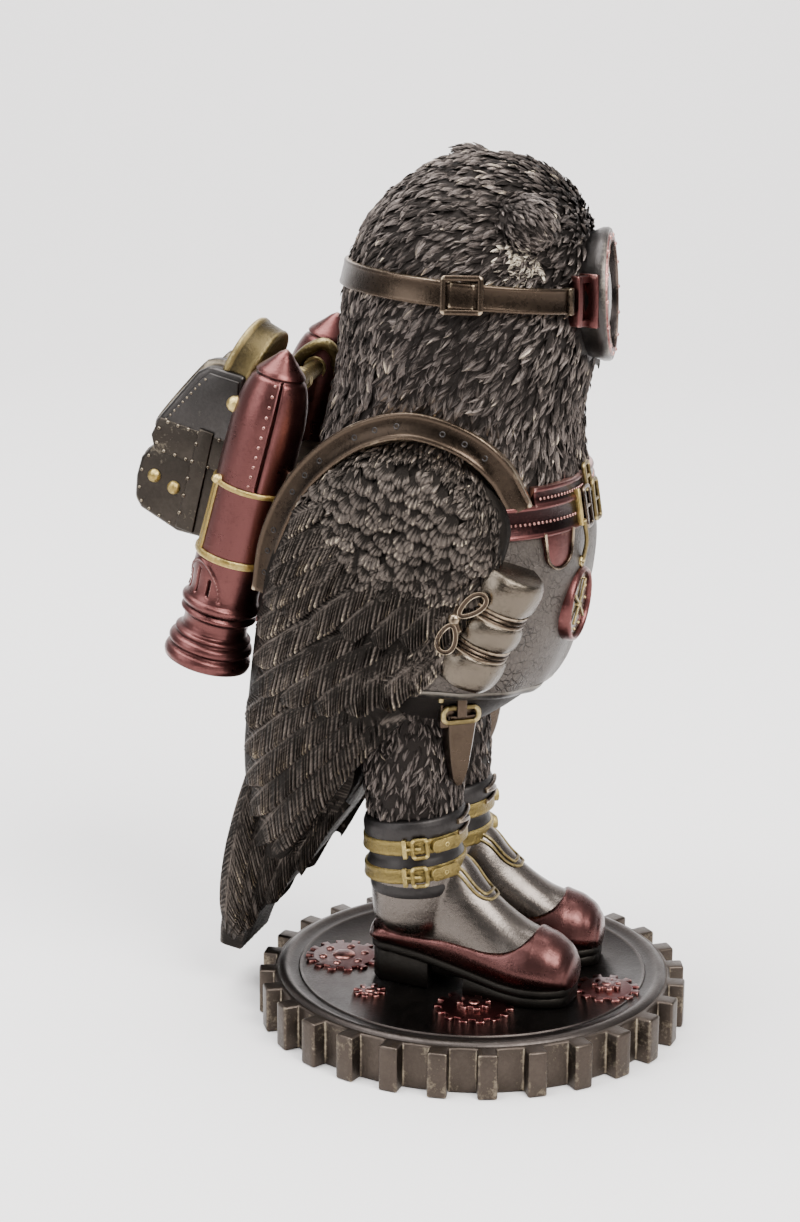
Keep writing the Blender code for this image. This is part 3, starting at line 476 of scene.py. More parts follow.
def scale_width(along):
    """Half width of a blade with a round tip."""
    tip = np.clip((along - 0.62) / 0.38, 0, 1)
    return np.maximum(np.sqrt(np.clip(1 - tip**2, 0, 1)), 0.04) * (0.72 + 0.28 * np.clip(along / 0.5, 0, 1))


def blades(name, points, quads, rim, wear, strand, bright=0.0):
    """Mesh of many blades with the same faces. The arrays have one row for each blade."""
    count, total = points.shape[:2]
    shift = (np.arange(count) * total)[:, None, None]
    attributes = {"wear": np.ravel(wear), "strand": np.reshape(strand, (-1, 3)),
                  "bright": np.repeat(np.zeros(count) + bright, total)}
    return build(name, points, [(quads[None] + shift).reshape(-1, 4), rim[None] + shift[:, :, 0]], attributes)


def laid(way, normal):
    """Unit directions of a way laid flat on surfaces with these normals."""
    way = np.broadcast_to(way, normal.shape)
    return unit(way - normal * np.einsum("ij,ij->i", way, normal)[:, None])


# How much a tuft may turn aside along its length
LEAF_CURL = 0.10


def leaves(name, root, along, normal, length, width, bright=0.0, rows=4, columns=4, lift=0.42, sink=0.25,
           yaw=0.28):
    """Many small pointed tufts with a ridge down each. Lengths in metres, lift and sink in millimetres."""
    count = len(root)
    v, u, quads, rim = blade_grid(rows, columns)
    across = unit(np.cross(normal, along))
    turn = RANDOM.normal(0.0, yaw, count)[:, None]
    along, across = along * np.cos(turn) + across * np.sin(turn), across * np.cos(turn) - along * np.sin(turn)
    curl = RANDOM.normal(0.0, LEAF_CURL, count)[:, None]
    reach = v * length[:, None]
    aside = u * leaf_width(v) * width[:, None] / 2 + curl * reach * v
    ridge = (1 - np.abs(u) - 0.3 * (np.abs(np.abs(u) - 0.5) < 0.1)) * (0.35 + 0.65 * np.sin(np.pi * v))
    lift = lift * RANDOM.uniform(0.5, 1.7, count)[:, None]
    rise = (-sink + (lift + sink) * np.clip(v * 1.25, 0, 1) ** 0.9 - 0.16 * v**4) * MM
    rise = rise + ridge * width[:, None] * 0.24
    points = (root[:, None] + along[:, None] * reach[..., None] + across[:, None] * aside[..., None]
              + normal[:, None] * rise[..., None])
    wear = -0.72 + 0.80 * v + 0.50 * ridge + RANDOM.normal(0.0, 0.26, count)[:, None]
    offset = RANDOM.random((count, 1)) * np.ones(len(v))
    return blades(name, points, quads, rim, wear, np.stack((aside, reach, offset), axis=-1), bright)


# Torso and head, in grid steps: height, back, front, half width
TORSO = (
    (48.0, 25.0, 4.6, 10.6),
    (51.0, 28.2, -2.0, 14.6),
    (55.0, 29.8, -8.2, 18.4),
    (61.0, 30.0, -13.8, 22.6),
    (67.0, 29.8, -16.8, 24.8),
    (73.0, 29.6, -18.7, 26.0),
    (79.0, 29.4, -19.7, 26.4),
    (85.0, 29.2, -20.0, 26.4),
    (91.0, 28.8, -19.6, 26.0),
    (97.0, 28.2, -18.6, 25.0),
    (103.0, 27.6, -17.6, 23.8),
    (109.0, 26.8, -17.8, 23.0),
    (115.0, 26.0, -19.2, 23.4),
    (121.0, 25.2, -20.6, 24.6),
    (127.0, 24.7, -21.3, 25.2),
    (133.0, 23.8, -21.2, 24.9),
    (139.0, 22.0, -20.0, 23.4),
    (144.0, 19.2, -18.0, 20.8),
    (148.5, 14.8, -14.8, 16.6),
    (151.5, 10.4, -10.8, 12.0),
    (153.4, 6.0, -6.2, 7.0),
    (154.4, 0.6, -0.8, 0.7),
)


def torso_point(angle, height, out=0.0):
    """Points on the torso or head. Angle 0 is the front and a quarter turn is the owl's left."""
    angle, height, out = np.broadcast_arrays(np.asarray(angle, float), height, out)
    back, front, half = np.moveaxis(curve(TORSO, height), -1, 0)
    square = 1.0 + 0.06 * np.abs(np.sin(2 * angle)) * np.clip((116 - height) / 10, 0, 1)
    x = (half * square + out) * np.sin(angle)
    y = (back + front) / 2 - ((back - front) / 2 * square + out) * np.cos(angle)
    return grid(x, y, height)


def torso_normal(angle, height):
    """Outward directions of the torso's surface."""
    angle, height = np.broadcast_arrays(np.asarray(angle, float), height)
    around = torso_point(angle + 0.05, height) - torso_point(angle - 0.05, height)
    up = torso_point(angle, height + 0.5) - torso_point(angle, height - 0.5)
    return unit(np.cross(around, up))


def head_direction(turn, rise=0.0):
    """Unit direction at a turn to the owl's left of the beak's direction."""
    angle = HEAD_TURN + turn
    flat = np.cos(rise)
    return np.stack(np.broadcast_arrays(np.sin(angle) * flat, -np.cos(angle) * flat, np.sin(rise)), axis=-1)


# How the plumage lies: height, pull towards the back of the head, pull down
PLUMAGE_FLOW = ((40.0, 0.25, 1.0), (100.0, 0.35, 1.0), (118.0, 0.65, 1.0), (130.0, 1.1, 0.8),
                (142.0, 1.3, 0.45), (155.0, 1.4, 0.2))
TUFT_SPACING = (1.8, 1.4)
TUFT_LENGTH = 3.8
TUFT_WIDTH = 1.75
FINE_STRANDS = 4200
FLAKES = 110
PLUMAGE_SPAN = (50.0, 154.2)

# Bright worn patch by one ear: turn in degrees, height, reach
BRIGHT_PATCH = (-50.0, 137.0, 8.5)


def plumage_rows(low, high, spacing):
    """Heights of rows that lie evenly along the torso's side."""
    heights = np.linspace(low, high, 800)
    back, front, half = np.moveaxis(curve(TORSO, heights), -1, 0)
    radius = (half + (back - front) / 2) / 2
    run = np.concatenate(([0], np.cumsum(np.hypot(np.diff(radius), np.diff(heights)))))
    places = np.arange(0, run[-1], spacing)
    return np.interp(places, run, heights), np.interp(places, run, radius)


def plumage():
    """Tufts all over the head, neck and back, with fine strands between them and bright flakes by one ear."""
    rows, radii = plumage_rows(*PLUMAGE_SPAN, TUFT_SPACING[0])
    angles, heights = [], []
    for k, (height, radius) in enumerate(zip(rows, radii)):
        count = max(3, int(round(2 * math.pi * radius / TUFT_SPACING[1])))
        turn = 2 * math.pi * (np.arange(count) + 0.5 * (k % 2)) / count
        angles.append(turn + RANDOM.normal(0, 0.26, count) * 2 * math.pi / count)
        heights.append(height + RANDOM.normal(0, 0.5, count))
    angle = np.concatenate(angles + [RANDOM.uniform(-math.pi, math.pi, FINE_STRANDS)])
    height = np.concatenate(heights + [RANDOM.uniform(60.0, 153.0, FINE_STRANDS)])
    fine = np.arange(len(angle)) >= len(angle) - FINE_STRANDS
    angle = np.remainder(angle + math.pi, 2 * math.pi) - math.pi
    height = np.clip(height, *PLUMAGE_SPAN)
    turn = np.degrees(np.abs(angle))
    under_apron = (height < 92) & (turn < 84) | (height < 100) & (turn < 46) | (height < 97) & (turn < 60)
    under_wing = (height < 96) & (turn > 80) & (turn < 145) | (height < 66) & (turn < 150)
    keep = ~(under_apron | under_wing)
    for side in (-1, 1):
        rim, axis = lens_place(side)
        away = torso_point(angle, height) - rim
        keep &= (np.linalg.norm(np.cross(away, axis), axis=-1) > 0.95 * LENS_RADIUS) | (away @ axis < -0.01)
    angle, height, fine = angle[keep], height[keep], fine[keep]
    normal = torso_normal(angle, height)
    pull, down = np.moveaxis(curve(PLUMAGE_FLOW, height), -1, 0)
    flow = laid(-head_direction(0.0) * pull[:, None] - UP * down[:, None], normal)
    size = np.interp(height, (90, 112, 130, 150), (1.1, 1.0, 0.92, 0.85))
    size = size * RANDOM.uniform(0.7, 1.3, len(height))
    turn_at, height_at, reach = BRIGHT_PATCH
    away = np.hypot(np.degrees(angle) - turn_at, (height - height_at) * 3.0) / reach
    bright = np.clip(1.5 - away, 0, 1) * 0.75
    root = torso_point(angle, height)
    for name, low, high in (("crown_plumage", 136, 160), ("head_plumage", 115, 136), ("neck_plumage", 0, 115)):
        chosen = ~fine & (height > low) & (height <= high)
        made = leaves(name, root[chosen], flow[chosen], normal[chosen], TUFT_LENGTH * MM * size[chosen],
                      TUFT_WIDTH * MM * size[chosen], bright[chosen], lift=0.30)
        finished(made, PLUMAGE, "owl_bronze")
    made = leaves("plumage_strands", root[fine], flow[fine], normal[fine], 2.8 * MM * size[fine],
                  0.55 * MM * size[fine], bright[fine], rows=3, lift=0.62, columns=2)
    finished(made, PLUMAGE, "owl_bronze")
    angle = np.radians(turn_at + RANDOM.normal(0, 0.55, FLAKES) * reach)
    height = height_at + RANDOM.normal(0, 0.25, FLAKES) * reach
    normal = torso_normal(angle, height)
    flakes = leaves("head_flakes", torso_point(angle, height), laid((0.0, 1.0, -0.4), normal), normal,
                    RANDOM.uniform(1.6, 3.0, FLAKES) * MM, RANDOM.uniform(0.9, 1.8, FLAKES) * MM, 1.2,
                    lift=0.45, yaw=0.9)
    finished(flakes, PLUMAGE, "owl_bronze")


def torso():
    """Smooth body under the plumage."""
    heights = np.concatenate((np.linspace(48.2, 150, 52), np.linspace(150.5, 154.35, 10)))
    rings = torso_point(circle(84)[None], heights[:, None], -0.15)
    finished(even(loft("owl_body", rings), -0.5), PLUMAGE, "owl_bronze", "owl_figure")


# Wings, in grid steps: share of the way down, front edge x y z, back edge x y z, bulge
WING = (
    (0.00, 23.0, -4.0, 105.0, 23.0, 8.0, 107.0, 1.0),
    (0.10, 25.0, -11.0, 96.0, 23.5, 17.0, 103.0, 3.6),
    (0.25, 26.0, -11.5, 87.0, 21.5, 28.5, 93.5, 5.4),
    (0.40, 27.0, -5.0, 75.0, 20.5, 34.0, 82.5, 5.6),
    (0.55, 26.0, 4.0, 63.0, 19.0, 36.6, 70.0, 4.8),
    (0.70, 22.5, 13.0, 52.0, 16.5, 39.2, 56.0, 3.6),
    (0.85, 18.0, 22.0, 38.0, 12.5, 41.8, 40.5, 2.2),
    (1.00, 11.5, 34.0, 21.5, 9.5, 41.0, 20.0, 1.0),
)
WING_INSIDE = ((1.0, -2.5), (0.94, -5.0), (0.5, -9.0), (0.06, -5.0), (0.0, -2.5))


def wing_steps(down, across, out=0.0):
    """Places on the left wing in grid steps: down from shoulder to tip, across from front edge to back edge."""
    down, across, out = np.broadcast_arrays(np.asarray(down, float), across, out)
    values = curve(WING, down)
    front, back, bulge = values[..., 0:3], values[..., 3:6], values[..., 6]
    point = front + (back - front) * across[..., None]
    reach = np.clip(4 * across * (1 - across), 0, 1)
    point[..., 0] += bulge * reach**0.7 + out
    return point


def wing_x(y, z):
    """How far out the wing's surface lies over places of its side view."""
    y, z = np.asarray(y, float), np.asarray(z, float)
    down = np.clip((104.0 - z) / 84.0, 0.02, 0.98)
    across = np.full_like(down, 0.5)
    small = 1e-3
    for _ in range(14):
        here = wing_steps(down, across)
        by_down = (wing_steps(down + small, across) - wing_steps(down - small, across)) / (2 * small)
        by_across = (wing_steps(down, across + small) - wing_steps(down, across - small)) / (2 * small)
        miss_y, miss_z = y - here[..., 1], z - here[..., 2]
        det = by_down[..., 1] * by_across[..., 2] - by_down[..., 2] * by_across[..., 1]
        det = np.where(np.abs(det) < 1e-6, 1e-6, det)
        step_down = (miss_y * by_across[..., 2] - miss_z * by_across[..., 1]) / det
        step_across = (by_down[..., 1] * miss_z - by_down[..., 2] * miss_y) / det
        down = np.clip(down + np.clip(step_down, -0.15, 0.15), 0.01, 0.99)
        across = np.clip(across + np.clip(step_across, -0.3, 0.3), 0.0, 1.0)
    return wing_steps(down, across)[..., 0]


def wing_surface(y, z, rise):
    """Points over the left wing at a height above its surface, in metres."""
    x = wing_x(y, z)
    reach = 0.8
    slope_y = (wing_x(y + reach, z) - wing_x(y - reach, z)) / (2 * reach)
    slope_z = (wing_x(y, z + reach) - wing_x(y, z - reach)) / (2 * reach)
    normal = unit(np.stack((np.ones_like(x), -slope_y, -slope_z), axis=-1))
    return grid(x, y, z) + normal * (np.asarray(rise) * MM)[..., None]


# Long feathers in three tiers, each from the back to the front: root y z, tip y z, width
WING_TIERS = (
    ((18.5, 95.0, 27.4, 89.6, 4.6), (16.0, 92.0, 29.4, 84.8, 5.0), (14.0, 89.5, 31.4, 80.4, 5.6),
     (12.0, 87.5, 33.0, 75.4, 6.0), (10.0, 86.0, 28.6, 74.6, 6.0), (5.5, 84.5, 22.6, 73.0, 6.0),
     (1.0, 84.0, 16.4, 72.6, 6.0), (-3.0, 83.5, 10.6, 72.0, 5.8), (-6.5, 82.5, 5.4, 72.4, 5.6),
     (-9.5, 81.5, 0.4, 73.4, 5.2)),
    ((17.0, 81.0, 35.4, 69.4, 6.4), (12.0, 78.5, 36.4, 63.2, 6.6), (8.0, 75.5, 37.2, 57.2, 6.8),
     (4.0, 74.0, 30.4, 56.8, 6.8), (0.5, 73.0, 23.2, 56.6, 6.6), (-2.5, 72.5, 17.0, 57.6, 6.4),
     (-5.0, 72.5, 11.4, 59.6, 6.0), (-7.0, 74.0, 5.6, 62.6, 5.4)),
    ((22.0, 63.5, 40.0, 50.4, 6.4), (17.0, 61.5, 40.9, 43.6, 6.8), (13.0, 60.0, 41.5, 36.8, 7.0),
     (10.5, 58.5, 41.6, 30.0, 7.0), (8.6, 57.6, 40.4, 23.6, 6.6), (7.2, 57.4, 36.6, 22.6, 5.6)),
)
TIER_RISE = (1.15, 0.70, 0.25)
BARB_SPACING = 0.92
QUILL = -0.30

# Places across a feather, closer together at its quill
VANE = (-1.0, -0.72, -0.46, -0.30, -0.14, 0.2, 0.55, 0.85, 1.0)


def feathers(name, table, rise, surface, slant=1.05):
    """Long round-tipped feathers with steep barbs, each overlapping the one in front of it."""
    rows, columns = 100, len(VANE) - 1
    v, u, quads, rim = blade_grid(rows, columns)
    u = np.interp(u, np.linspace(-1, 1, columns + 1), VANE)
    points, wears, strands = [], [], []
    for k, (root_y, root_z, tip_y, tip_z, width) in enumerate(table):
        run = np.array((tip_y - root_y, tip_z - root_z))
        length = np.linalg.norm(run)
        along = run / length
        low_side = np.array((-along[1], along[0])) * (-1 if along[0] > 0 else 1)
        aside = u * scale_width(v) * width / 2
        from_shaft = np.abs(u - QUILL) * scale_width(v) * width / 2
        place = v * length + slant * from_shaft * np.clip((1 - v) / 0.25, 0, 1) * np.clip(v / 0.08, 0, 1)
        bend = 0.03 * length * np.sin(np.pi * np.clip(place / length, 0, 1))
        y = root_y + along[0] * place + low_side[0] * (aside - bend)
        z = root_z + along[1] * place + low_side[1] * (aside - bend)
        turns = v * length / BARB_SPACING + 0.35 * np.sin(v * length * 1.1 + k) + RANDOM.random()
        groove = np.clip(np.abs(2 * np.remainder(turns, 1) - 1) * 1.5 - 0.25, 0, 1)
        vane = np.clip(np.abs(u - QUILL) * 4, 0, 1) * np.clip((1 - v) * 7, 0, 1)
        deep = RANDOM.uniform(0.6, 1.3, 80)[np.floor(turns).astype(int) % 80]
        edge = np.clip((u - 0.1) / 0.75, 0, 1)
        barb = groove * vane * deep * (0.30 + 0.22 * edge)
        ridge = 0.30 * np.clip(1 - np.abs(u - QUILL) * width / 1.1, 0, 1)
        height = rise - 0.75 + 1.05 * np.clip(v * 1.6, 0, 1) + 0.48 * u - 0.55 * (np.abs(u) > 0.99)
        height = height + barb + ridge - 0.40 * np.clip((v - 0.95) / 0.05, 0, 1) ** 2
        points.append(surface(y, z, height))
        wears.append(-0.55 + groove * vane * (0.75 + 0.65 * edge) * deep + 1.5 * ridge
                     + 0.35 * (1 - vane) * (v > 0.5) - 0.5 * (v < 0.15) + RANDOM.normal(0, 0.08))
        strands.append(np.stack((aside * MM, v * length * MM, np.full_like(v, k)), axis=-1))
    return blades(name, np.array(points), quads, rim, wears, strands)


# Region of the round scales on the wing's side view: y, top edge z, low edge z
SCALE_REGION = ((-11.5, 92.0, 80.0), (-9.0, 97.5, 79.0), (-5.0, 101.0, 79.0), (0.0, 104.0, 79.6),
                (5.0, 105.0, 80.6), (10.0, 104.6, 82.6), (15.0, 102.8, 86.0), (20.0, 99.8, 91.0),
                (24.0, 96.0, 95.0))
SCALE_LEAN = math.radians(24)
SCALE_SIZE = (4.3, 5.0)
SCALE_PITCH = (2.75, 2.15)
SCALE_MIDDLE = (6.0, 92.0)
SCALE_ROWS = 16
SCALE_FAN = math.radians(38)


def wing_scales():
    """Staggered rows of overlapping fan-shaped coverts with radial barbs."""
    point = np.array((math.sin(SCALE_LEAN), -math.cos(SCALE_LEAN)))
    side = np.array((-point[1], point[0]))
    rows, columns = 7, 20
    v, u, quads, rim = blade_grid(rows, columns)
    v = v ** 0.8
    points, wears, strands = [], [], []
    for k in range(SCALE_ROWS, -SCALE_ROWS - 1, -1):
        for i in range(-SCALE_ROWS, SCALE_ROWS + 1):
            place = SCALE_MIDDLE + point * k * SCALE_PITCH[1] + side * (i + 0.5 * (k % 2)) * SCALE_PITCH[0]
            place = place + RANDOM.normal(0, 0.25, 2)
            if not SCALE_REGION[0][0] < place[0] < SCALE_REGION[-1][0]:
                continue
            top, low = curve(SCALE_REGION, place[0])
            grown = RANDOM.uniform(0.85, 1.15)
            lean = RANDOM.normal(0, 0.16)
            if not low < place[1] < top:
                continue
            width, length = SCALE_SIZE[0] * grown, SCALE_SIZE[1] * grown
            along = point * math.cos(lean) + side * math.sin(lean)
            across = np.array((-along[1], along[0]))
            spread = u * SCALE_FAN
            reach = v * (1 - 0.10 * u**2)
            aside = np.sin(spread) * reach * width * 0.82
            ahead = np.cos(spread) * reach * length
            y = place[0] + along[0] * ahead + across[0] * aside
            z = place[1] + along[1] * ahead + across[1] * aside
            groove = np.abs(np.cos(u * math.pi * 2.5 + 0.3))
            outer = np.clip((v - 0.45) / 0.35, 0, 1)
            lean_out = RANDOM.uniform(0.8, 1.2)
            height = 0.05 + 1.0 * v * lean_out - 0.18 * u**2 + 0.30 * groove * outer - 0.65 * (v > 0.99)
            points.append(wing_surface(y, z, height))
            wears.append(-0.75 + 0.35 * v + (0.30 + 0.75 * groove) * outer**2 * RANDOM.uniform(0.7, 1.25)
                         - 0.5 * (v > 0.99))
            strands.append(np.stack((spread * 0.002, v * 0.001, np.full_like(v, len(strands))), axis=-1))
    return blades("wing_scales", np.array(points), quads, rim, wears, strands)


def wing_body():
    """Smooth wing under the feathers."""
    downs = np.linspace(0.0, 1.0, 60)
    shares = np.linspace(0, 1, 41)
    back_shares, outs = np.transpose(WING_INSIDE)
    rings = wing_steps(downs[:, None], np.concatenate((shares, back_shares)),
                       np.concatenate((np.full(len(shares), -0.1), outs)))
    return even(loft("wing_body", grid(*np.moveaxis(rings, -1, 0))), -0.45)


WING_TUFTS = 5200


def wing_tufts():
    """Fine tufts between the coverts, the harness and the wing's front edge."""
    y = RANDOM.uniform(-12.5, 26.0, WING_TUFTS)
    z = RANDOM.uniform(66.0, 107.0, WING_TUFTS)
    edge = np.interp(z, (62, 75, 87, 96, 104), (4.0, -5.0, -11.5, -11.0, -4.5))
    top = curve(SCALE_REGION, y)[:, 0]
    roof = np.interp(y, (-12, -9, -4, 2, 8, 14, 20, 26), (93, 99, 105, 106.6, 107, 104.6, 101, 96))
    keep = (y > edge - 0.2) & (z < roof) & ((y < edge + 5.0) | (z > top - 1.5))
    y, z = y[keep], z[keep]
    root = wing_surface(y, z, np.full_like(y, 0.25))
    normal = unit(wing_surface(y, z, np.full_like(y, 1.0)) - root)
    size = RANDOM.uniform(0.7, 1.2, len(y))
    return leaves("wing_tufts", root, laid((0.0, 0.30, -0.95), normal), normal, 2.2 * MM * size,
                  0.85 * MM * size, rows=3, columns=2, lift=0.40)


def mirrored(thing, name):
    """Copy on the owl's other side."""
    copy = linked(name, thing.data.copy())
    copy.data.transform(Matrix.Diagonal((-1, 1, 1, 1)))
    copy.data.flip_normals()
    return copy


def wings():
    """Both wings: body, round scales, fine tufts and three tiers of long feathers."""
    left = [wing_body(), wing_scales(), wing_tufts()]
    left += [feathers(f"wing_tier_{k}", tier, TIER_RISE[k], wing_surface) for k, tier in enumerate(WING_TIERS)]
    for thing in left:
        other = mirrored(thing, thing.name + "_right")
        thing.name += "_left"
        finished(thing, WING_BRONZE, "owl_bronze")
        finished(other, WING_BRONZE, "owl_bronze")


# Tail, in grid steps: share of the way down, back y z, front y z, half width
TAIL = (
    (0.0, 38.0, 62.0, 22.0, 58.0, 15.0),
    (0.2, 42.6, 50.0, 19.4, 43.0, 14.0),
    (0.45, 42.2, 33.0, 24.0, 31.0, 12.5),
    (0.7, 46.2, 17.0, 35.2, 15.0, 10.5),
    (0.9, 49.4, 5.6, 43.4, 4.4, 8.8),
    (1.0, 50.0, 0.8, 45.0, -0.2, 7.6),
)
TAIL_RUN = 66.0
TAIL_LANES = 7

# Long feathers on a side of the tail: root y z, tip y z, width
TAIL_FEATHERS = (
    (36.2, 47.0, 47.2, 3.2, 5.4), (32.0, 43.0, 46.4, 2.0, 5.4), (28.0, 39.0, 44.6, 3.6, 5.2),
    (24.0, 36.0, 39.0, 11.0, 5.0), (22.0, 35.0, 32.6, 19.6, 4.8),
)


def tail_surface(y, z, rise):
    """Points over the tail's left side at a height above it, in metres."""
    share = np.interp(-np.asarray(z), (-60, -46.5, -32, -16, -5, -0.3), (0, 0.2, 0.45, 0.7, 0.9, 1.0))
    half = curve(TAIL, share)[..., 4]
    point = grid(half - 0.4, y, z)
    point[..., 0] += np.asarray(rise) * MM
    return point


def tail():
    """Tail with long feathers over both sides and slanted barbs down its back."""
    downs = np.linspace(0, 1, 220)
    back_y, back_z, front_y, front_z, half = np.moveaxis(curve(TAIL, downs), -1, 0)
    back = np.stack((np.zeros_like(back_y), back_y, back_z), axis=-1)
    front = np.stack((np.zeros_like(back_y), front_y, front_z), axis=-1)
    thick = np.linalg.norm(back - front, axis=-1)[:, None]
    outward_way = unit(back - front)
    place = np.linspace(-1, 1, 71)[None]
    lane = (place + 1) / 2 * TAIL_LANES
    inside = np.abs(2 * np.remainder(lane, 1) - 1)
    run = downs[:, None] * TAIL_RUN
    slant = np.abs(np.remainder(lane, 1) - 0.5) * 2.4
    groove = np.abs(2 * np.remainder((run - slant) / BARB_SPACING, 1) - 1)
    crown = 1 - 0.28 * (1 - np.sqrt(np.clip(1 - place**2, 0, 1)))
    roof = thick * crown + 0.45 * (1 - inside**3) - 0.35 + 0.26 * groove * (1 - inside**2)
    top = front[:, None] + outward_way[:, None] * roof[..., None]
    top[..., 0] += place * half[:, None]
    low_place = np.linspace(0.98, -0.98, 30)[None]
    low_groove = np.abs(2 * np.remainder((run - np.abs(low_place) * 4) / BARB_SPACING, 1) - 1)
    low = front[:, None] - outward_way[:, None] * (0.2 * low_groove)[..., None]
    low[..., 0] += low_place * half[:, None]
    rings = np.concatenate((top, low), axis=1)
    wear_top = -0.4 + 0.85 * groove * (1 - inside**4)
    wear = np.concatenate((wear_top, -0.4 + 0.5 * low_groove), axis=1)
    across = np.concatenate((place * np.ones_like(run), low_place * np.ones_like(run)), axis=1)
    strand = np.stack((across * 0.009, run * MM * np.ones_like(across), np.zeros_like(across)), axis=-1)
    body = loft("tail", grid(*np.moveaxis(rings, -1, 0)),
                {"wear": wear.ravel(), "strand": strand.reshape(-1, 3), "bright": np.zeros(wear.size)})
    finished(body, WING_BRONZE, "owl_bronze")
    side = feathers("tail_feathers_left", TAIL_FEATHERS, 0.5, tail_surface, 1.6)
    finished(mirrored(side, "tail_feathers_right"), WING_BRONZE, "owl_bronze")
    finished(side, WING_BRONZE, "owl_bronze")


# Middle of a leg, in grid steps: height, x, y
LEG_LINE = ((0, 9.2, 8.8), (31, 9.2, 8.8), (50, 9.4, 9.6), (70, 9.0, 10.0))
THIGH_TUFTS = 1500
THIGH = ((30, 8.0), (35, 8.8), (40, 9.4), (47, 9.6), (54, 9.5), (64, 9.0))


def leg_rings(side, heights, radii, count):
    """Rings of points round a leg."""
    x, y = np.moveaxis(curve(LEG_LINE, heights), -1, 0)
    a = circle(count)[None]
    radius = np.asarray(radii, float)[:, None]
    return grid(side * x[:, None] + radius * np.cos(a), y[:, None] + radius * np.sin(a),
                np.asarray(heights, float)[:, None])


def leg_round(side, height, radius, turn, tilt=0.0):
    """Points round a leg at turns from +X, and their outward directions."""
    x, y = np.moveaxis(curve(LEG_LINE, height), -1, 0)
    points = grid(side * x + radius * np.cos(turn), y + radius * np.sin(turn), height - tilt * np.sin(turn))
    return points, np.stack((np.cos(turn), np.sin(turn), np.zeros_like(turn)), axis=-1)


def legs():
    """Thighs covered with thin hanging tufts."""
    for side, word in SIDES:
        heights = np.linspace(30, 64, 24)
        radii = curve(THIGH, heights)[:, 0] - 0.4
        body = even(loft(f"thigh_{word}", leg_rings(side, heights, radii, 48)), -0.5)
        finished(body, PLUMAGE, "owl_bronze")
        height = RANDOM.uniform(33.5, 64.0, THIGH_TUFTS)
        angle = RANDOM.uniform(0, 2 * math.pi, THIGH_TUFTS)
        root, normal = leg_round(side, height, curve(THIGH, height)[:, 0] - 0.4, angle)
        along = np.array((0.0, 0.16, -1.0)) + np.zeros_like(normal)
        along = laid(along + np.cross(normal, along) * RANDOM.normal(0, 0.18, THIGH_TUFTS)[:, None], normal)
        size = RANDOM.uniform(0.7, 1.2, THIGH_TUFTS)
        tufts = leaves(f"thigh_tufts_{word}", root, along, normal, 3.0 * MM * size, 0.9 * MM * size, rows=3,
                       columns=2, lift=0.30)
        finished(tufts, PLUMAGE, "owl_bronze")


# Plinth

ARC_PARTS = 3


def gear_outline(radius, depth, teeth, share, first_turn):
    """Points of a gear with square teeth, with its round stretches as arcs."""
    pitch = 2 * math.pi / teeth
    points = []
    for k in range(teeth):
        middle = first_turn + k * pitch
        for low, high, reach in ((-share / 2, share / 2, radius), (share / 2, 1 - share / 2, radius - depth)):
            for turn in np.linspace(low, high, ARC_PARTS + 1):
                angle = middle + turn * pitch
                points.append((reach * math.cos(angle), reach * math.sin(angle)))
    return np.array(points)


def gear(name, center, radius, depth, teeth, share, low, high, bevel, first_turn=0.0):
    """Gear-shaped disc with rounded edges."""
    outline = gear_outline(radius, depth, teeth, share, first_turn) + np.array(center)
    rings = [np.column_stack((outline, np.full(len(outline), z))) for z in (low, high)]
    return rounded(loft(name, rings), bevel)


# Deck with its low line and raised ring: share of the deck's radius, metres beyond it, metres above the plinth
DECK = ((0, 0.0002, -0.0009), (0, 0.0002, 0.00005), (0.900, 0, 0.00008), (0.906, 0, 0.00030),
        (0.918, 0, 0.00034), (0.924, 0, 0.00008), (1, -0.0014, 0.00010), (1, -0.0008, 0.00050),
        (1, -0.0002, 0.00072), (1, 0.0005, 0.00060), (1, 0.0011, 0.00012), (1, 0.0015, -0.0009))


def plinth():
    """Gear-shaped plinth with its raised ring and a low line round its deck."""
    body = gear("plinth", (0, 0), PLINTH_RADIUS, TOOTH_DEPTH, PLINTH_TEETH, TOOTH_SHARE, 0.0, PLINTH_THICKNESS,
                0.00042, FIRST_TOOTH_TURN)
    finished(mark_wear(body, 1.6), PLINTH_BRONZE, "plinth_bronze", "gear_plinth")
    profile = [(share * DECK_RADIUS + out, up) for share, out, up in DECK]
    deck = turned("deck", profile, 160, (0, 0, PLINTH_THICKNESS), UP)
    finished(mark_wear(deck, 3.0), DECK_BRONZE, "plinth_bronze")


# Sweeps and small fittings

def smooth_path(points, count):
    """Evenly spaced points on a smooth curve through a few points."""
    table = [(k, *point) for k, point in enumerate(np.asarray(points, float))]
    dense = curve(table, np.linspace(0, len(table) - 1, count * 8))
    run = np.concatenate(([0], np.cumsum(np.linalg.norm(np.diff(dense, axis=0), axis=1))))
    places = np.linspace(0, run[-1], count)
    return np.stack([np.interp(places, run, column) for column in dense.T], axis=-1)


def directions(points, closed=False):
    """Unit directions along a path."""
    return unit(np.roll(points, -1, 0) - np.roll(points, 1, 0) if closed else np.gradient(points, axis=0))


def sweep(name, points, normals, section, closed=False):
    """Body swept along a path with a section of (across, out) points in metres."""
    along = directions(points, closed)
    across = unit(np.cross(np.broadcast_to(normals, points.shape), along))
    out = np.cross(along, across)
    section = np.array(section, float)
    rings = points[:, None] + across[:, None] * section[None, :, :1] + out[:, None] * section[None, :, 1:]
    return loft(name, rings, closed=closed)


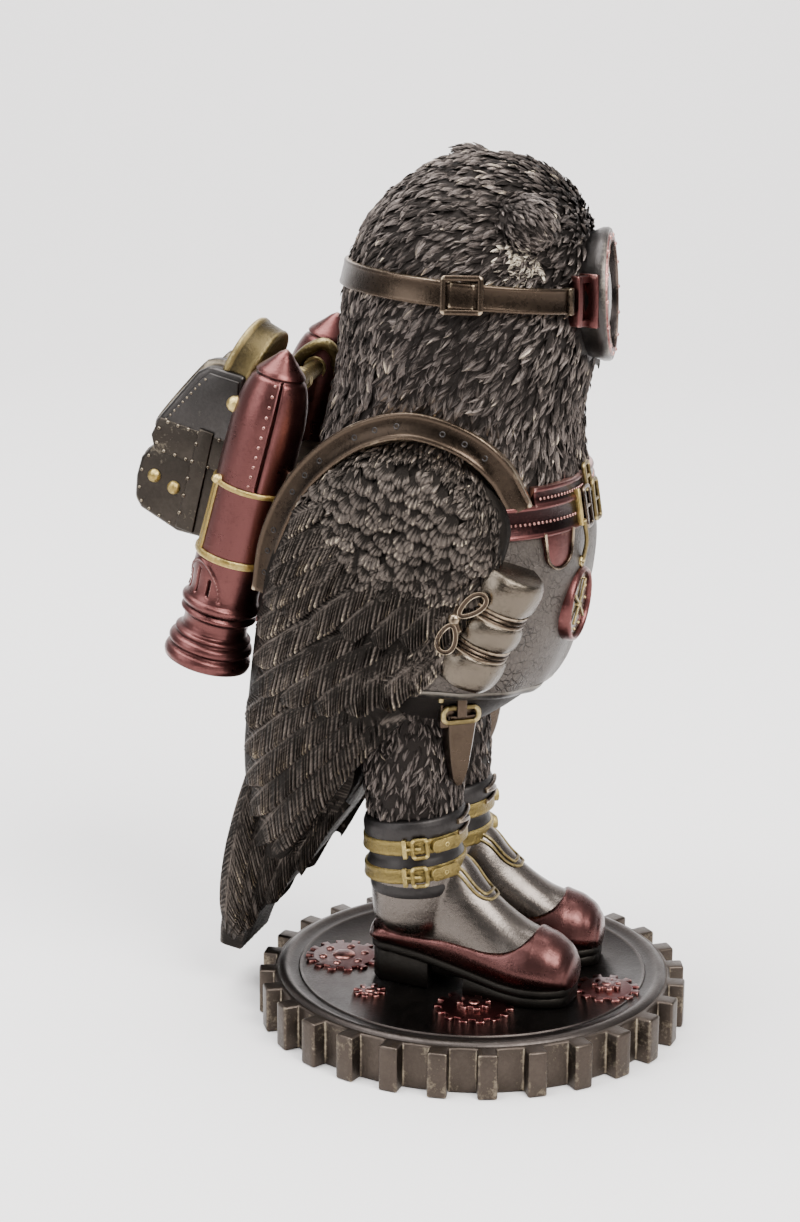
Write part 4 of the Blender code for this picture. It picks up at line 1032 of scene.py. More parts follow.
def tube(name, points, radius, sides=10, closed=False):
    """Round wire along a path."""
    points = np.asarray(points, float)
    along = directions(points, closed)
    normal, normals = np.cross(along[0], ODD_WAY), []
    for direction in along:
        normal = unit(normal - direction * normal.dot(direction))
        normals.append(normal)
    turn = circle(sides)
    section = np.stack((np.cos(turn), np.sin(turn)), axis=-1) * radius
    return sweep(name, points, np.array(normals), section, closed)


def band_section(width, low, high, lip=0.0, edge=0.0004):
    """Section of a strap with rounded edges, and with raised lips along them where asked."""
    half = width / 2
    side = [(-half, low), (-half, high - edge * 0.6), (-half + edge * 0.3, high - edge * 0.15),
            (-half + edge, high), (-half + edge * 1.7, high - lip * 0.4), (-half + edge * 2.2, high - lip)]
    return side + [(-x, y) for x, y in reversed(side)]


def oblong(width, height, corner, count=5):
    """Closed rounded rectangle as (across, up) points."""
    points = []
    for right, top, start in ((1, 1, 0), (-1, 1, 90), (-1, -1, 180), (1, -1, 270)):
        for angle in np.radians(np.linspace(start, start + 90, count)):
            points.append((right * (width / 2 - corner) + corner * math.cos(angle),
                           top * (height / 2 - corner) + corner * math.sin(angle)))
    return np.array(points)


SQUARE_WIRE = ((-1, -.6), (-1, .6), (-.6, 1), (.6, 1), (1, .6), (1, -.6), (.6, -1), (-.6, -1))


def wire_frame(name, place, axes, width, height, wire, corner=0.0007):
    """Rounded rectangular frame of square wire."""
    across, up, out = (np.array(axis, float) for axis in axes)
    loop = oblong(width - wire, height - wire, corner)
    points = np.asarray(place) + across * loop[:, :1] + up * loop[:, 1:]
    return sweep(name, points, out, scaled(SQUARE_WIRE, wire / 2, wire / 2), closed=True)


def plate(name, outline, place, axes, low, high, bevel=0.00012):
    """Flat plate with an outline of (across, up) points in metres."""
    across, up, out = (np.array(axis, float) for axis in axes)
    outline = np.asarray(outline, float)
    flat = np.asarray(place) + across * outline[:, :1] + up * outline[:, 1:]
    return rounded(loft(name, [flat + out * low, flat + out * high]), bevel)


def studs(name, places, normals, radius, tall=0.75, sides=8):
    """Small domes, each closed and sunk a little."""
    places, normals = np.asarray(places, float), unit(np.asarray(normals, float))
    normals = np.broadcast_to(normals, places.shape)
    side = unit(np.cross(normals, ODD_WAY))
    other = np.cross(normals, side)
    a = circle(sides)
    profile = np.array(((1.0, -0.9), (1.0, 0.0), (0.86, 0.5), (0.5, 0.86), (0.12, 1.0)))
    spoke = side[:, None] * np.cos(a)[None, :, None] + other[:, None] * np.sin(a)[None, :, None]
    points = (places[:, None, None] + normals[:, None, None] * profile[None, :, None, 1:] * radius * tall
              + spoke[:, None] * profile[None, :, None, :1] * radius)
    total = points.shape[1] * sides
    shift = np.arange(len(places))[:, None, None] * total
    quads = (ring_faces(len(profile), sides)[None] + shift).reshape(-1, 4)
    caps = np.stack((np.arange(sides)[::-1], np.arange(sides) + total - sides))
    return outward(build(name, points, [quads, (caps[None] + shift).reshape(-1, sides)]))


def eyelets(name, places, normals, radius, wire):
    """Small rings that lie on a surface."""
    made = []
    turn = circle(14)[:, None]
    for place, normal in zip(np.asarray(places), unit(np.asarray(normals))):
        side = unit(np.cross(normal, ODD_WAY))
        other = np.cross(normal, side)
        made.append(tube("ring", place + (side * np.cos(turn) + other * np.sin(turn)) * radius, wire, 6, True))
    return joined(name, made)


def smooth_body(name, things, voxel, rounds):
    """Joins closed bodies into one skin and rounds their seams."""
    body = joined(name, things)
    remesh = body.modifiers.new("skin", "REMESH")
    remesh.mode = "VOXEL"
    remesh.voxel_size = voxel
    soften = body.modifiers.new("soften", "SMOOTH")
    soften.factor = 0.6
    soften.iterations = rounds
    return applied(body)


def torso_axes(angle, height):
    """Point on the torso, then the directions around it, up it and out of it."""
    place = torso_point(angle, height)
    normal = torso_normal(angle, height)
    around = unit(np.cross(UP, normal))
    return place, (around, np.cross(normal, around), normal)


def torso_band(name, turns, heights, section):
    """Strap round the torso with a section of (up, out) points in grid steps."""
    section = np.array(section, float)
    rings = torso_point(turns[:, None], heights[:, None] + section[None, :, 0], section[None, :, 1])
    return loft(name, rings)


def in_steps(section):
    """A section in metres as grid steps."""
    return scaled(section, 1 / STEP, 1 / STEP)


# Goggles. Turns go from the beak's direction to the owl's left.
HEAD_MIDDLE = (0.0, 1.6, 130.0)
LENS_TURN = math.radians(26)
LENS_RISE = math.radians(3)
LENS_SEAT_TURN = math.radians(27)
LENS_REACH = 22.6
LENS_RADIUS = 0.0119
LENS_BARREL = 0.0036
STRAP_WIDTH = 0.0044
SLIDER_TURN = math.radians(-112)
SLIDER_SIZE = (0.0074, 0.0068)
STRAP_END_TURN = math.radians(64.5)
STRAP_LEVEL = 131.6
STRAP_DIP = 2.2
RIM_STUDS = 14

# Bracket parts: turns in degrees, heights, how far out
BRACKET_PARTS = (
    ((61.0, 48.0), (-4.1, 4.1), 0.8), ((61.0, 58.4), (-4.4, 4.4), 2.3), ((52.6, 48.6), (-4.7, 4.7), 3.4),
    ((60.0, 50.0), (3.2, 4.4), 1.9), ((60.0, 50.0), (-4.4, -3.2), 1.9),
)

# Profiles of barrel, rim and glass: share of the lens's radius, metres along its axis
BARREL = ((0.88, -0.0085), (0.90, -0.0050), (0.92, -0.0034), (0.95, -0.0020), (0.98, -0.0011), (1.0, -0.0004),
          (1.0, 0.0005), (0.98, 0.0009), (0.93, 0.0009), (0.90, 0.0005), (0.89, -0.0004), (0.86, -0.0006))
RIM = ((0.92, -0.0010), (0.92, 0.0009), (0.905, 0.0012), (0.86, 0.0012), (0.83, 0.0008), (0.81, 0.0000),
       (0.80, -0.0012))
GLASS = ((0.84, -0.0016), (0.84, -0.0010), (0.80, 0.00125), (0.79, -0.0006), (0.72, -0.0007), (0.6, -0.0002),
         (0.45, 0.0003), (0.28, 0.0006), (0.10, 0.0007))


def lens_place(side):
    """Middle of a lens's rim and the direction it looks in."""
    axis = head_direction(side * LENS_TURN, LENS_RISE)
    seat = head_direction(side * LENS_SEAT_TURN)
    return grid(*HEAD_MIDDLE) + seat * LENS_REACH * STEP + axis * LENS_BARREL * 0.35, axis


def goggle_bracket(side, word):
    """Copper frame between the strap and a barrel: a backing, two upright plates and two bars."""
    bits = []
    for turns, heights, out in BRACKET_PARTS:
        turn = side * np.radians(np.linspace(*turns, 6))
        ring = np.concatenate((turn, turn[::-1]))
        outs = np.repeat((out, -0.6), 6)
        levels = strap_height(ring)[None] + np.linspace(*heights, 9)[:, None]
        part = loft("part", torso_point(HEAD_TURN + ring[None], levels, outs[None]))
        bits.append(rounded(part, 0.00022))
    dressed(joined(f"goggle_bracket_{word}", bits), COPPER_RED, "copper_red", 2.0)


def strap_height(turn):
    """Height of the goggle strap, which rises towards the back of the head."""
    return STRAP_LEVEL - STRAP_DIP * np.cos(turn)


def goggles():
    """Strap with its slider and end pieces, brackets, barrels, rims with studs and dark lenses."""
    turns = np.linspace(STRAP_END_TURN - 0.02, 2 * math.pi - STRAP_END_TURN + 0.02, 150)
    section = in_steps(band_section(STRAP_WIDTH, -0.0012, 0.00155, 0.00010, 0.00035))
    strap = torso_band("goggle_strap", HEAD_TURN + turns, strap_height(turns), section)
    dressed(strap, STRAP_BRONZE, "strap_bronze")
    angle = HEAD_TURN + SLIDER_TURN
    place, axes = torso_axes(angle, strap_height(SLIDER_TURN))
    slider = wire_frame("slider_frame", place + axes[2] * 0.0017, axes, *SLIDER_SIZE, 0.0010, 0.0004)
    inner = np.linspace(-0.085, 0.085, 9)
    bulge = torso_band("slider_strap", angle + inner, strap_height(SLIDER_TURN + inner),
                       in_steps(band_section(STRAP_WIDTH * 1.04, 0.0, 0.0020, 0.0001, 0.0005)))
    dressed(joined("goggle_slider", [slider, bulge]), STRAP_BRONZE, "strap_bronze")
    for side, word in SIDES:
        end = side * STRAP_END_TURN
        place, axes = torso_axes(HEAD_TURN + end, strap_height(end))
        edge = plate(f"strap_end_{word}", oblong(0.0011, STRAP_WIDTH * 1.08, 0.0003), place, axes, 0.0, 0.0021,
                     0.0002)
        dressed(edge, STRAP_BRONZE, "strap_bronze")
        goggle_bracket(side, word)
        rim, axis = lens_place(side)
        barrel, ring, glass = (scaled(profile, LENS_RADIUS) for profile in (BARREL, RIM, GLASS))
        dressed(turned(f"goggle_barrel_{word}", barrel, 72, rim, axis), BOX_GREY, "pewter")
        ring = turned(f"rim_{word}", ring, 72, rim, axis)
        side_way = unit(np.cross(UP, axis))
        turn = circle(RIM_STUDS)[:, None]
        spoke = side_way * np.cos(turn) + np.cross(axis, side_way) * np.sin(turn)
        heads = studs("heads", rim + spoke * 0.885 * LENS_RADIUS + axis * 0.00115, axis, 0.00042)
        dressed(joined(f"goggle_rim_{word}", [ring, heads]), COPPER_RED, "copper_red")
        dressed(turned(f"lens_{word}", glass, 64, rim, axis), LENS, "owl_bronze")


# Beak, from its root, in grid steps: reach, drop, half width, half height
BEAK_ROOT = 119.6
BEAK = ((17.0, 0.0, 3.4, 4.2), (20.0, 0.3, 3.3, 4.0), (22.4, -0.6, 2.9, 3.3), (23.4, -1.4, 2.2, 2.6),
        (24.0, -2.6, 1.4, 1.7), (24.2, -3.9, 0.6, 0.9), (24.1, -4.5, 0.15, 0.3))


def beak():
    """Small hooked beak between and below the lenses."""
    forward = head_direction(0.0)
    across = np.cross(UP, forward)
    shape = curve([(k, *row) for k, row in enumerate(BEAK)], np.linspace(0, len(BEAK) - 1, 26))
    reach, drop, half, tall = (column[:, None, None] * STEP for column in shape.T)
    a = circle(20)[None, :, None]
    pinch = 1 - 0.25 * np.clip(np.sin(a), 0, 1)
    root = grid(HEAD_MIDDLE[0], HEAD_MIDDLE[1], BEAK_ROOT)
    rings = root + forward * reach + UP * (drop + tall * np.sin(a)) + across * half * np.cos(a) * pinch
    dressed(loft("beak", rings), DARK_GREY, "owl_bronze")


# Ear tufts: turn and rise in degrees, then the shape along one in grid steps
EAR_TUFTS = ((-82.0, 36.0, (-0.2, -0.75, -0.60)), (68.0, 50.0, (0.0, 1.0, 0.05)))
EAR_TUFT_SHAPE = ((0.0, 5.0, 5.2), (2.5, 5.3, 5.4), (5.0, 4.9, 5.0), (7.0, 4.0, 4.1), (8.4, 2.9, 3.0),
                  (9.1, 1.7, 1.7), (9.4, 0.3, 0.3))
EAR_TUFT_LENGTH = 9.4
EAR_TUFT_SEAT = 20.0
EAR_STRANDS = 240


def ear_tufts():
    """Two blunt tufts of fine strands on the sides of the crown."""
    for (turn, rise, way), word in zip(EAR_TUFTS, ("right", "left")):
        seat = head_direction(math.radians(turn), math.radians(rise))
        forward = head_direction(math.radians(turn * 1.35), math.radians(rise))
        across = unit(np.cross(seat, forward))
        back = np.cross(across, seat)
        start = grid(*HEAD_MIDDLE) + seat * EAR_TUFT_SEAT * STEP
        lean = seat * 0.8 + forward * 0.25
        flow = unit(np.array(way))

        def surface(share, a):
            wide, tall = np.moveaxis(curve(EAR_TUFT_SHAPE, share * EAR_TUFT_LENGTH), -1, 0)
            ring = across * (wide * np.cos(a))[..., None] + back * (tall * np.sin(a))[..., None]
            share = share[..., None]
            return start + (lean * share * EAR_TUFT_LENGTH + ring + flow * 2.0 * share**2) * STEP

        shares, turns = np.broadcast_arrays(np.linspace(0, 1, 30)[:, None], circle(60)[None])
        finished(even(loft(f"ear_tuft_{word}", surface(shares, turns)), 0.15), PLUMAGE, "owl_bronze")
        share = np.minimum(RANDOM.uniform(0.2, 1.0, EAR_STRANDS) ** 0.7, 0.99)
        a = RANDOM.uniform(0, 2 * math.pi, EAR_STRANDS)
        root = surface(share, a)
        normal = unit(np.cross(surface(share, a + 0.02) - root, surface(share + 0.01, a) - root))
        normal = normal * np.sign(np.einsum("ij,ij->i", normal, root - start - lean * 0.003))[:, None]
        size = RANDOM.uniform(0.7, 1.1, EAR_STRANDS)
        tufts = leaves(f"ear_tuft_strands_{word}", root, laid(flow, normal), normal, 3.2 * MM * size,
                       1.4 * MM * size, columns=2, lift=0.12, sink=0.30, yaw=0.25)
        finished(tufts, PLUMAGE, "owl_bronze")


# Harness over a shoulder, in grid steps, from the chest to the back
HARNESS_ROUTE = (
    (20.0, -13.0, 95.0), (23.6, -9.8, 102.4), (25.0, -4.0, 107.0), (25.3, 5.0, 109.3), (24.6, 13.6, 107.4),
    (23.4, 21.6, 102.4), (22.0, 28.0, 95.4), (21.0, 32.6, 86.0), (20.0, 34.6, 76.0),
)
HARNESS_MIDDLE = (0.0, 7.0, 90.0)
HARNESS_WIDTH = 0.0048
HARNESS_LOW = 0.0035
HARNESS_PROUD = 0.0012
HARNESS_POINTS = 90
EYELETS = (14, 19, 24, 34, 39, 44, 54, 59, 64, 74, 79, 84)


def harness():
    """Leather straps between the neck and the wings, with eyelets and raised lips."""
    for side, word in SIDES:
        route = np.array(HARNESS_ROUTE) * (side, 1, 1)
        points = smooth_path(grid(*route.T), HARNESS_POINTS)
        away = points - grid(*HARNESS_MIDDLE)
        normals = unit(away * (1.5, 0.35, 0.55))
        section = band_section(HARNESS_WIDTH, -HARNESS_LOW, HARNESS_PROUD, 0.00030, 0.00050)
        strap = sweep(f"harness_{word}", points, normals, section)
        dressed(strap, STRAP_BRONZE, "strap_bronze")
        chosen = np.array(EYELETS)
        places = points[chosen] + normals[chosen] * (HARNESS_PROUD - 0.00032)
        rings = eyelets(f"harness_eyelets_{word}", places, normals[chosen], 0.00044, 0.00014)
        dressed(rings, DARK_GREY, "strap_bronze", 0.0)


# Chest belts: half turn in degrees, height in grid steps, width
CHEST_BELTS = ((58.0, 92.5, 0.0057), (40.0, 96.6, 0.0036))
STITCH_TURN = 2.0

# Buckles: turn in degrees, height in grid steps, width, height
BUCKLES = ((-7.0, 92.5, 0.0042, 0.0078), (7.0, 92.5, 0.0042, 0.0078), (0.0, 97.2, 0.0042, 0.0056))
BELT_END_PLACE = (-15.0, 93.0)
TAB_PLACE = (-29.0, 86.8)
TAB_SIZE = (0.0082, 0.0070)
WATCH_TURN = math.radians(-9)
WATCH_PLACE = 74.8
WATCH_RADIUS = 0.0070
CHAIN_PLACE = (-14.0, 91.0)

# Profiles of the watch: share of its radius, metres along its axis
WATCH_RIM = ((0.90, -0.0040), (0.98, -0.0012), (1.0, 0.0002), (0.99, 0.0010), (0.96, 0.0014), (0.91, 0.0016),
             (0.87, 0.0014), (0.85, 0.0010), (0.845, 0.0004))
WATCH_FACE = ((0.86, -0.0004), (0.86, 0.0006), (0.5, 0.00075), (0.2, 0.0008))

# Hands: angle, reach as a share of the radius
WATCH_HANDS = ((0.5, 0.70), (-1.0, 0.62), (2.3, 0.66), (-2.5, 0.60))


def chest():
    """Copper-red belts with stitches, thin buckles, the red tab and the watch on its rod."""
    for k, (half, height, width) in enumerate(CHEST_BELTS):
        turns = np.radians(np.linspace(-half, half, 70))
        section = in_steps(band_section(width, -0.0015, 0.00135, 0.00032, 0.00040))
        belt = torso_band(f"chest_belt_{k}", turns, np.full(70, height), section)
        stitch_turns = np.radians(np.arange(-half + 3, half - 2, STITCH_TURN))
        places = torso_point(stitch_turns, height - 0.25, 1.0)
        dots = studs("dots", places, torso_normal(stitch_turns, height), 0.00030)
        dressed(joined(f"belt_{k}", [belt, dots]), COPPER_RED, "copper_red")
    for k, (turn, height, wide, tall) in enumerate(BUCKLES):
        place, axes = torso_axes(math.radians(turn), height)
        place = place + axes[2] * 0.0016
        ring = wire_frame("ring", place, axes, wide, tall, 0.0007, 0.0007)
        tongue = slab("tongue", place + axes[0] * 0.0004, (wide * 0.92, 0.0006, 0.0005), axes, 0.00015)
        keeper = slab("keeper", place - axes[2] * 0.0003, (0.0008, tall * 0.86, 0.0006), axes, 0.00015)
        dressed(joined(f"chest_buckle_{k}", [ring, tongue, keeper]), DARK_BRASS if k else STRAP_BRONZE,
                "worn_brass" if k else "strap_bronze")
    place, axes = torso_axes(math.radians(BELT_END_PLACE[0]), BELT_END_PLACE[1])
    bar = slab("belt_end", place + axes[2] * 0.0013, (0.0009, 0.0068, 0.0013), axes, 0.0003)
    dressed(bar, BRASS, "worn_brass")
    place, axes = torso_axes(math.radians(TAB_PLACE[0]), TAB_PLACE[1])
    wide, tall = TAB_SIZE
    turn = np.linspace(math.pi, 2 * math.pi, 17)
    bowl = np.column_stack((np.cos(turn) * 0.44 * wide, np.sin(turn) * 0.48 * tall - 0.02 * tall))
    outline = np.concatenate((((0.5 * wide, 0.5 * tall), (-0.5 * wide, 0.5 * tall)), bowl))
    tab = plate("chest_tab", outline, place, axes, -0.001, 0.0009)
    dressed(tab, COPPER_RED, "copper_red")
    edge = place + axes[2] * 0.0010 + axes[0] * outline[1:, :1] * 0.97 + axes[1] * outline[1:, 1:] * 0.97
    edge = np.concatenate((edge, edge[:1] + axes[0] * wide * 0.97))
    dressed(tube("chest_tab_edge", edge, 0.00032, 8), STRAP_BRONZE, "strap_bronze")
    watch()


def watch():
    """Pocket watch with its rim, face, thin hands and bow, and the rod to the belt."""
    r = WATCH_RADIUS
    place = torso_point(WATCH_TURN, WATCH_PLACE)
    outward_way = torso_normal(WATCH_TURN, WATCH_PLACE)
    axis = unit(outward_way * (0.8, 1.0, 0.5))
    across = unit(np.cross(UP, axis))
    up = np.cross(axis, across)
    dressed(turned("watch_rim", scaled(WATCH_RIM, r), 72, place, axis), COPPER_RED, "copper_red")
    dressed(turned("watch_face", scaled(WATCH_FACE, r), 48, place, axis), PEWTER, "pewter")
    bits = []
    for angle, reach in WATCH_HANDS:
        way = across * math.sin(angle) + up * math.cos(angle)
        middle = place + axis * 0.0011 + way * r * reach / 2
        axes = (way, np.cross(axis, way), axis)
        bits.append(slab("hand", middle, (r * reach, 0.0005, 0.0005), axes, 0.00012))
    turn = np.arange(12)[:, None] * math.pi / 6
    ticks = place + axis * 0.0008 + (across * np.cos(turn) + up * np.sin(turn)) * r * 0.70
    bits.append(studs("ticks", ticks, axis, 0.00028))
    bits.append(studs("hub", [place + axis * 0.0011], axis, 0.0007))
    bits.append(wire_frame("bow", place + up * (r + 0.0010) + axis * 0.0006, (across, up, axis), 0.0026, 0.0022,
                           0.0006, 0.0010))
    chain_top = torso_point(math.radians(CHAIN_PLACE[0]), CHAIN_PLACE[1], 2.0)
    crown = place + up * (r + 0.0012) + axis * 0.0008
    middle = (chain_top + crown) / 2 + torso_normal(WATCH_TURN, 84.0) * 0.0006
    bits.append(tube("rod", smooth_path((crown, middle, chain_top), 24), 0.00042))
    dressed(joined("watch_brass", bits), DARK_BRASS, "worn_brass")


# Apron, in grid steps: height, how far it stands off the torso
APRON = ((93.0, -0.2), (90.0, 0.2), (80.0, 0.5), (69.0, 0.6), (61.4, 1.5), (59.4, 1.7), (57.0, 1.4))
APRON_HALF_TURN = math.radians(96)
APRON_TOP = 92.5
HEM_LEVEL = 59.6
HEM_RISE = 2.0
HEM_SECTION = ((-1.9, -0.9), (-1.9, 0.6), (-1.5, 1.5), (-0.7, 1.75), (0.0, 1.6), (0.2, -0.6))
FOLD_DEPTH = 0.26


def apron():
    """Crackled leather apron with soft creases and a dark hem that lies higher at the sides."""
    turns = np.linspace(-APRON_HALF_TURN, APRON_HALF_TURN, 131)
    hem = HEM_LEVEL + HEM_RISE * np.sin(turns) ** 2
    heights = APRON_TOP + (hem[None] - APRON_TOP) * np.linspace(0, 1, 56)[:, None]
    stand = curve(APRON, heights)[..., 0]
    waves = FOLD_DEPTH * np.sin(turns * 17 + 0.8)
    folds = waves * np.clip((66 - heights) / 8, 0, 1) + 0.18 * np.sin(turns * 6.0 + heights * 0.21)
    outside = torso_point(turns[None], heights, stand + folds)
    inside = torso_point(turns[None, ::-1], heights[:, ::-1], -0.8)
    cloth = loft("apron", np.concatenate((outside, inside), axis=1))
    dressed(cloth, CRACKLED, "pewter", 1.5)
    up, out = np.transpose(HEM_SECTION)
    rings = torso_point(turns[:, None], hem[:, None] + up, out + waves[:, None])
    dressed(loft("apron_hem", rings), DARK_GREY, "owl_bronze")


# Bedroll on the owl's right, in grid steps: middles of its ends
BEDROLL_TOP = (-23.0, -13.2, 84.4)
BEDROLL_LOW = (-22.4, -3.6, 64.6)
BEDROLL_RADIUS = 0.0060
BEDROLL_LENGTH = 0.0235
BOW_KNOT = (-30.0, -4.4, 76.9)
BOW_LOOPS = ((-3.3, 2.7, 2.9, 1.35), (1.2, -3.6, 2.6, 1.5))

# Share of its length, share of its radius
BEDROLL_SHAPE = (
    (0.00, 0.20), (0.004, 0.62), (0.015, 0.82), (0.04, 0.93), (0.09, 1.01), (0.17, 1.05), (0.24, 1.03),
    (0.295, 0.95), (0.315, 0.85), (0.375, 0.85), (0.395, 0.95), (0.44, 1.04), (0.50, 1.08), (0.56, 1.04),
    (0.605, 0.95), (0.625, 0.85), (0.685, 0.85), (0.705, 0.95), (0.76, 1.03), (0.83, 1.05), (0.91, 1.01),
    (0.96, 0.93), (0.985, 0.82), (0.996, 0.62), (1.00, 0.20),
)
BEDROLL_STRAPS = (0.345, 0.655)

# One side of a strap round it, from its middle line: share of the half width, metres out of its face
BAND_HALF = 0.00115
BAND_SIDE = ((0, 0.00012), (0.2, 0), (0.35, -0.00022), (0.5, 0), (0.75, 0.0001), (1, 0), (1, -0.001))


def bedroll():
    """Rolled blanket in three bulges with twin-grooved straps, and a bow beside it."""
    top, low = grid(*BEDROLL_TOP), grid(*BEDROLL_LOW)
    axis = unit(low - top)
    start = (top + low) / 2 - axis * BEDROLL_LENGTH / 2
    shares = np.linspace(0, 1, 80)
    sizes = curve(BEDROLL_SHAPE, shares)[:, 0]
    a = circle(60)[None]
    size = sizes[:, None] * (1 + 0.018 * np.sin(3 * a + shares[:, None] * 9) + 0.012 * np.sin(7 * a + 2.0))
    side = unit(np.cross(UP, axis))
    other = np.cross(axis, side)
    ring = side * np.cos(a)[..., None] + other * np.sin(a)[..., None]
    rings = start + axis * (shares * BEDROLL_LENGTH)[:, None, None] + ring * (size * BEDROLL_RADIUS)[..., None]
    dressed(loft("bedroll", rings), SPECKLED, "pewter", 1.6, 3)
    bands = []
    side_points = [(BEDROLL_RADIUS * 0.965 + out, share * BAND_HALF) for share, out in BAND_SIDE]
    profile = [(r, -along) for r, along in reversed(side_points)] + side_points[1:]
    for share in BEDROLL_STRAPS:
        bands.append(turned("band", profile, 56, start + axis * share * BEDROLL_LENGTH, axis))
    dressed(joined("bedroll_straps", bands), STRAP_BRONZE, "strap_bronze")
    out = unit(np.array((-1.0, -0.12, 0.0)))
    knot = grid(*BOW_KNOT)
    turn = circle(32)[:, None]
    section = scaled(((-1, -1), (-1, 1), (-.5, .7), (.5, .7), (1, 1), (1, -1)), 0.00040, 0.00036)
    bits = [studs("knot", [knot + out * 0.0002], out, 0.0011, 0.8, 12)]
    for y, z, long_half, wide_half in BOW_LOOPS:
        way = unit(np.array((0.0, y, z)))
        wide_way = np.cross(out, way)
        center = knot + np.array((0.0, y, z)) * STEP
        loop = center + (way * long_half * np.cos(turn) + wide_way * wide_half * np.sin(turn)
                         * (1 + 0.25 * np.cos(turn))) * STEP
        bits.append(sweep("loop", loop, out, section, True))
        end = knot + (way * 2.0 + wide_way * 1.4) * STEP - out * 0.0006
        path = smooth_path((knot, (knot + end) / 2 + out * 0.0002, end), 12)
        bits.append(sweep("end", path, out, band_section(0.0010, -0.0004, 0.0003, 0.0, 0.00015)))
    dressed(joined("bedroll_bow", bits), STRAP_BRONZE, "strap_bronze")


# Garter on a thigh, in grid steps
GARTER_PLACE = (16.6, -1.2, 57.3)
GARTER_FACING = (0.8, -0.6)
SHEATH = ((55.6, 16.9, -2.1, 2.7), (52.0, 16.5, -1.8, 2.4), (48.0, 15.8, -1.4, 2.0), (44.0, 15.0, -1.0, 1.4),
          (42.2, 14.6, -0.7, 0.9), (41.4, 14.4, -0.6, 0.5))
SHEATH_SECTION = ((-1, -3.0), (-1, 0.7), (-0.9, 1.05), (-0.7, 1.15), (0, 1.35), (0.7, 1.15), (0.9, 1.3),
                  (1.0, 1.0), (1.02, -3.0))

# The far garter is hidden and lies closer to the leg
FAR_TUCK = 0.0036
GARTER_LEVEL = 58.5
GARTER_RADIUS = 9.9


def garters():
    """Brass double buckle and brown sheath on the outer front of each thigh, on a thin strap."""
    for side, word in SIDES:
        normal = np.array((side * GARTER_FACING[0], GARTER_FACING[1], 0.0))
        around = np.cross(UP, normal)
        tucked = normal * (FAR_TUCK if side > 0 else 0.0)
        place = grid(side * GARTER_PLACE[0], *GARTER_PLACE[1:]) + normal * 0.0020 - tucked
        axes = (around, UP, normal)
        bits = [wire_frame("low", place - UP * 0.0014, axes, 0.0076, 0.0036, 0.0009, 0.0011)]
        bits.append(slab("bar", place + UP * 0.0028, (0.0086, 0.0009, 0.0011), axes, 0.0003))
        for way in (-1, 1):
            spot = place + UP * 0.0022 + around * way * 0.0039
            bits.append(slab("hook", spot, (0.0009, 0.0020, 0.0011), axes, 0.0003))
        dressed(joined(f"garter_buckle_{word}", bits), DARK_BRASS, "worn_brass")
        post = slab("post", place + UP * 0.0006 + normal * 0.0004, (0.0019, 0.0050, 0.0011), axes, 0.0003)
        backing = slab("backing", place - normal * 0.0020, (0.0070, 0.0084, 0.0022), axes, 0.0004)
        heights = np.linspace(SHEATH[0][0], SHEATH[-1][0], 30)
        x, y, wide = np.moveaxis(curve(SHEATH, heights), -1, 0)
        middle = grid(side * x, y, heights) - tucked
        section = np.array(SHEATH_SECTION)
        rings = (middle[:, None] + around * (wide[:, None] * section[None, :, 0])[..., None] * STEP
                 + normal * (section[:, 1] * STEP)[None, :, None])
        sheath = loft("sheath", rings)
        dressed(joined(f"sheath_{word}", [backing, post, sheath]), STRAP_BRONZE, "strap_bronze", 0.3)
        ring, outwards = leg_round(side, GARTER_LEVEL, GARTER_RADIUS, circle(64))
        section = band_section(0.0024, -0.001, 0.0006, 0.0001)
        strap = sweep(f"garter_strap_{word}", ring, outwards, section, True)
        dressed(strap, STRAP_BRONZE, "strap_bronze")


# Boots, in grid steps along the foot from the heel to the toe: half width, height of the upper
BOOT_PLAN = (
    (-0.1, 1.2, 8.0), (0.3, 3.2, 10.0), (1.2, 4.8, 13.0), (5.0, 6.1, 18.0), (9.0, 6.3, 23.0),
    (13.0, 6.3, 26.0), (17.5, 6.2, 25.0), (21.0, 6.1, 20.8), (25.0, 6.3, 17.2), (29.2, 6.7, 14.4),
    (33.0, 6.5, 12.9), (36.0, 5.5, 11.4), (38.0, 3.9, 9.0), (38.8, 2.2, 6.8), (39.0, 0.8, 5.6),
)

# Section of a boot's upper: share round it, across, up
BOOT_SECTION = (
    (0.0, -0.86, 0.0), (0.09, -1.0, 0.20), (0.20, -0.99, 0.42), (0.33, -0.76, 0.76), (0.42, -0.40, 0.94),
    (0.50, 0.0, 1.0), (0.58, 0.40, 0.94), (0.67, 0.76, 0.76), (0.80, 0.99, 0.42), (0.91, 1.0, 0.20),
    (1.0, 0.86, 0.0),
)
HEEL_PLACE = (7.0, 16.2)
TOE_PLACE = (10.9, -23.0)
FOOT_LENGTH = 39.0

# Rand round a boot: place along the foot, its low edge, its top edge
RAND = ((0.0, 7.6, 11.0), (7.0, 7.2, 10.4), (11.0, 6.7, 10.3), (16.0, 5.6, 10.2), (20.5, 4.6, 9.7),
        (24.0, 3.9, 9.4), (27.5, 3.4, 9.9), (29.5, 3.3, 10.8), (31.0, 3.2, 11.9), (32.2, 3.2, 13.4),
        (33.6, 3.2, 17.0), (36.0, 3.2, 20.0), (40.0, 3.4, 20.0))
SOLE_LAYER = 1.25
SOLE_LOW = 0.02

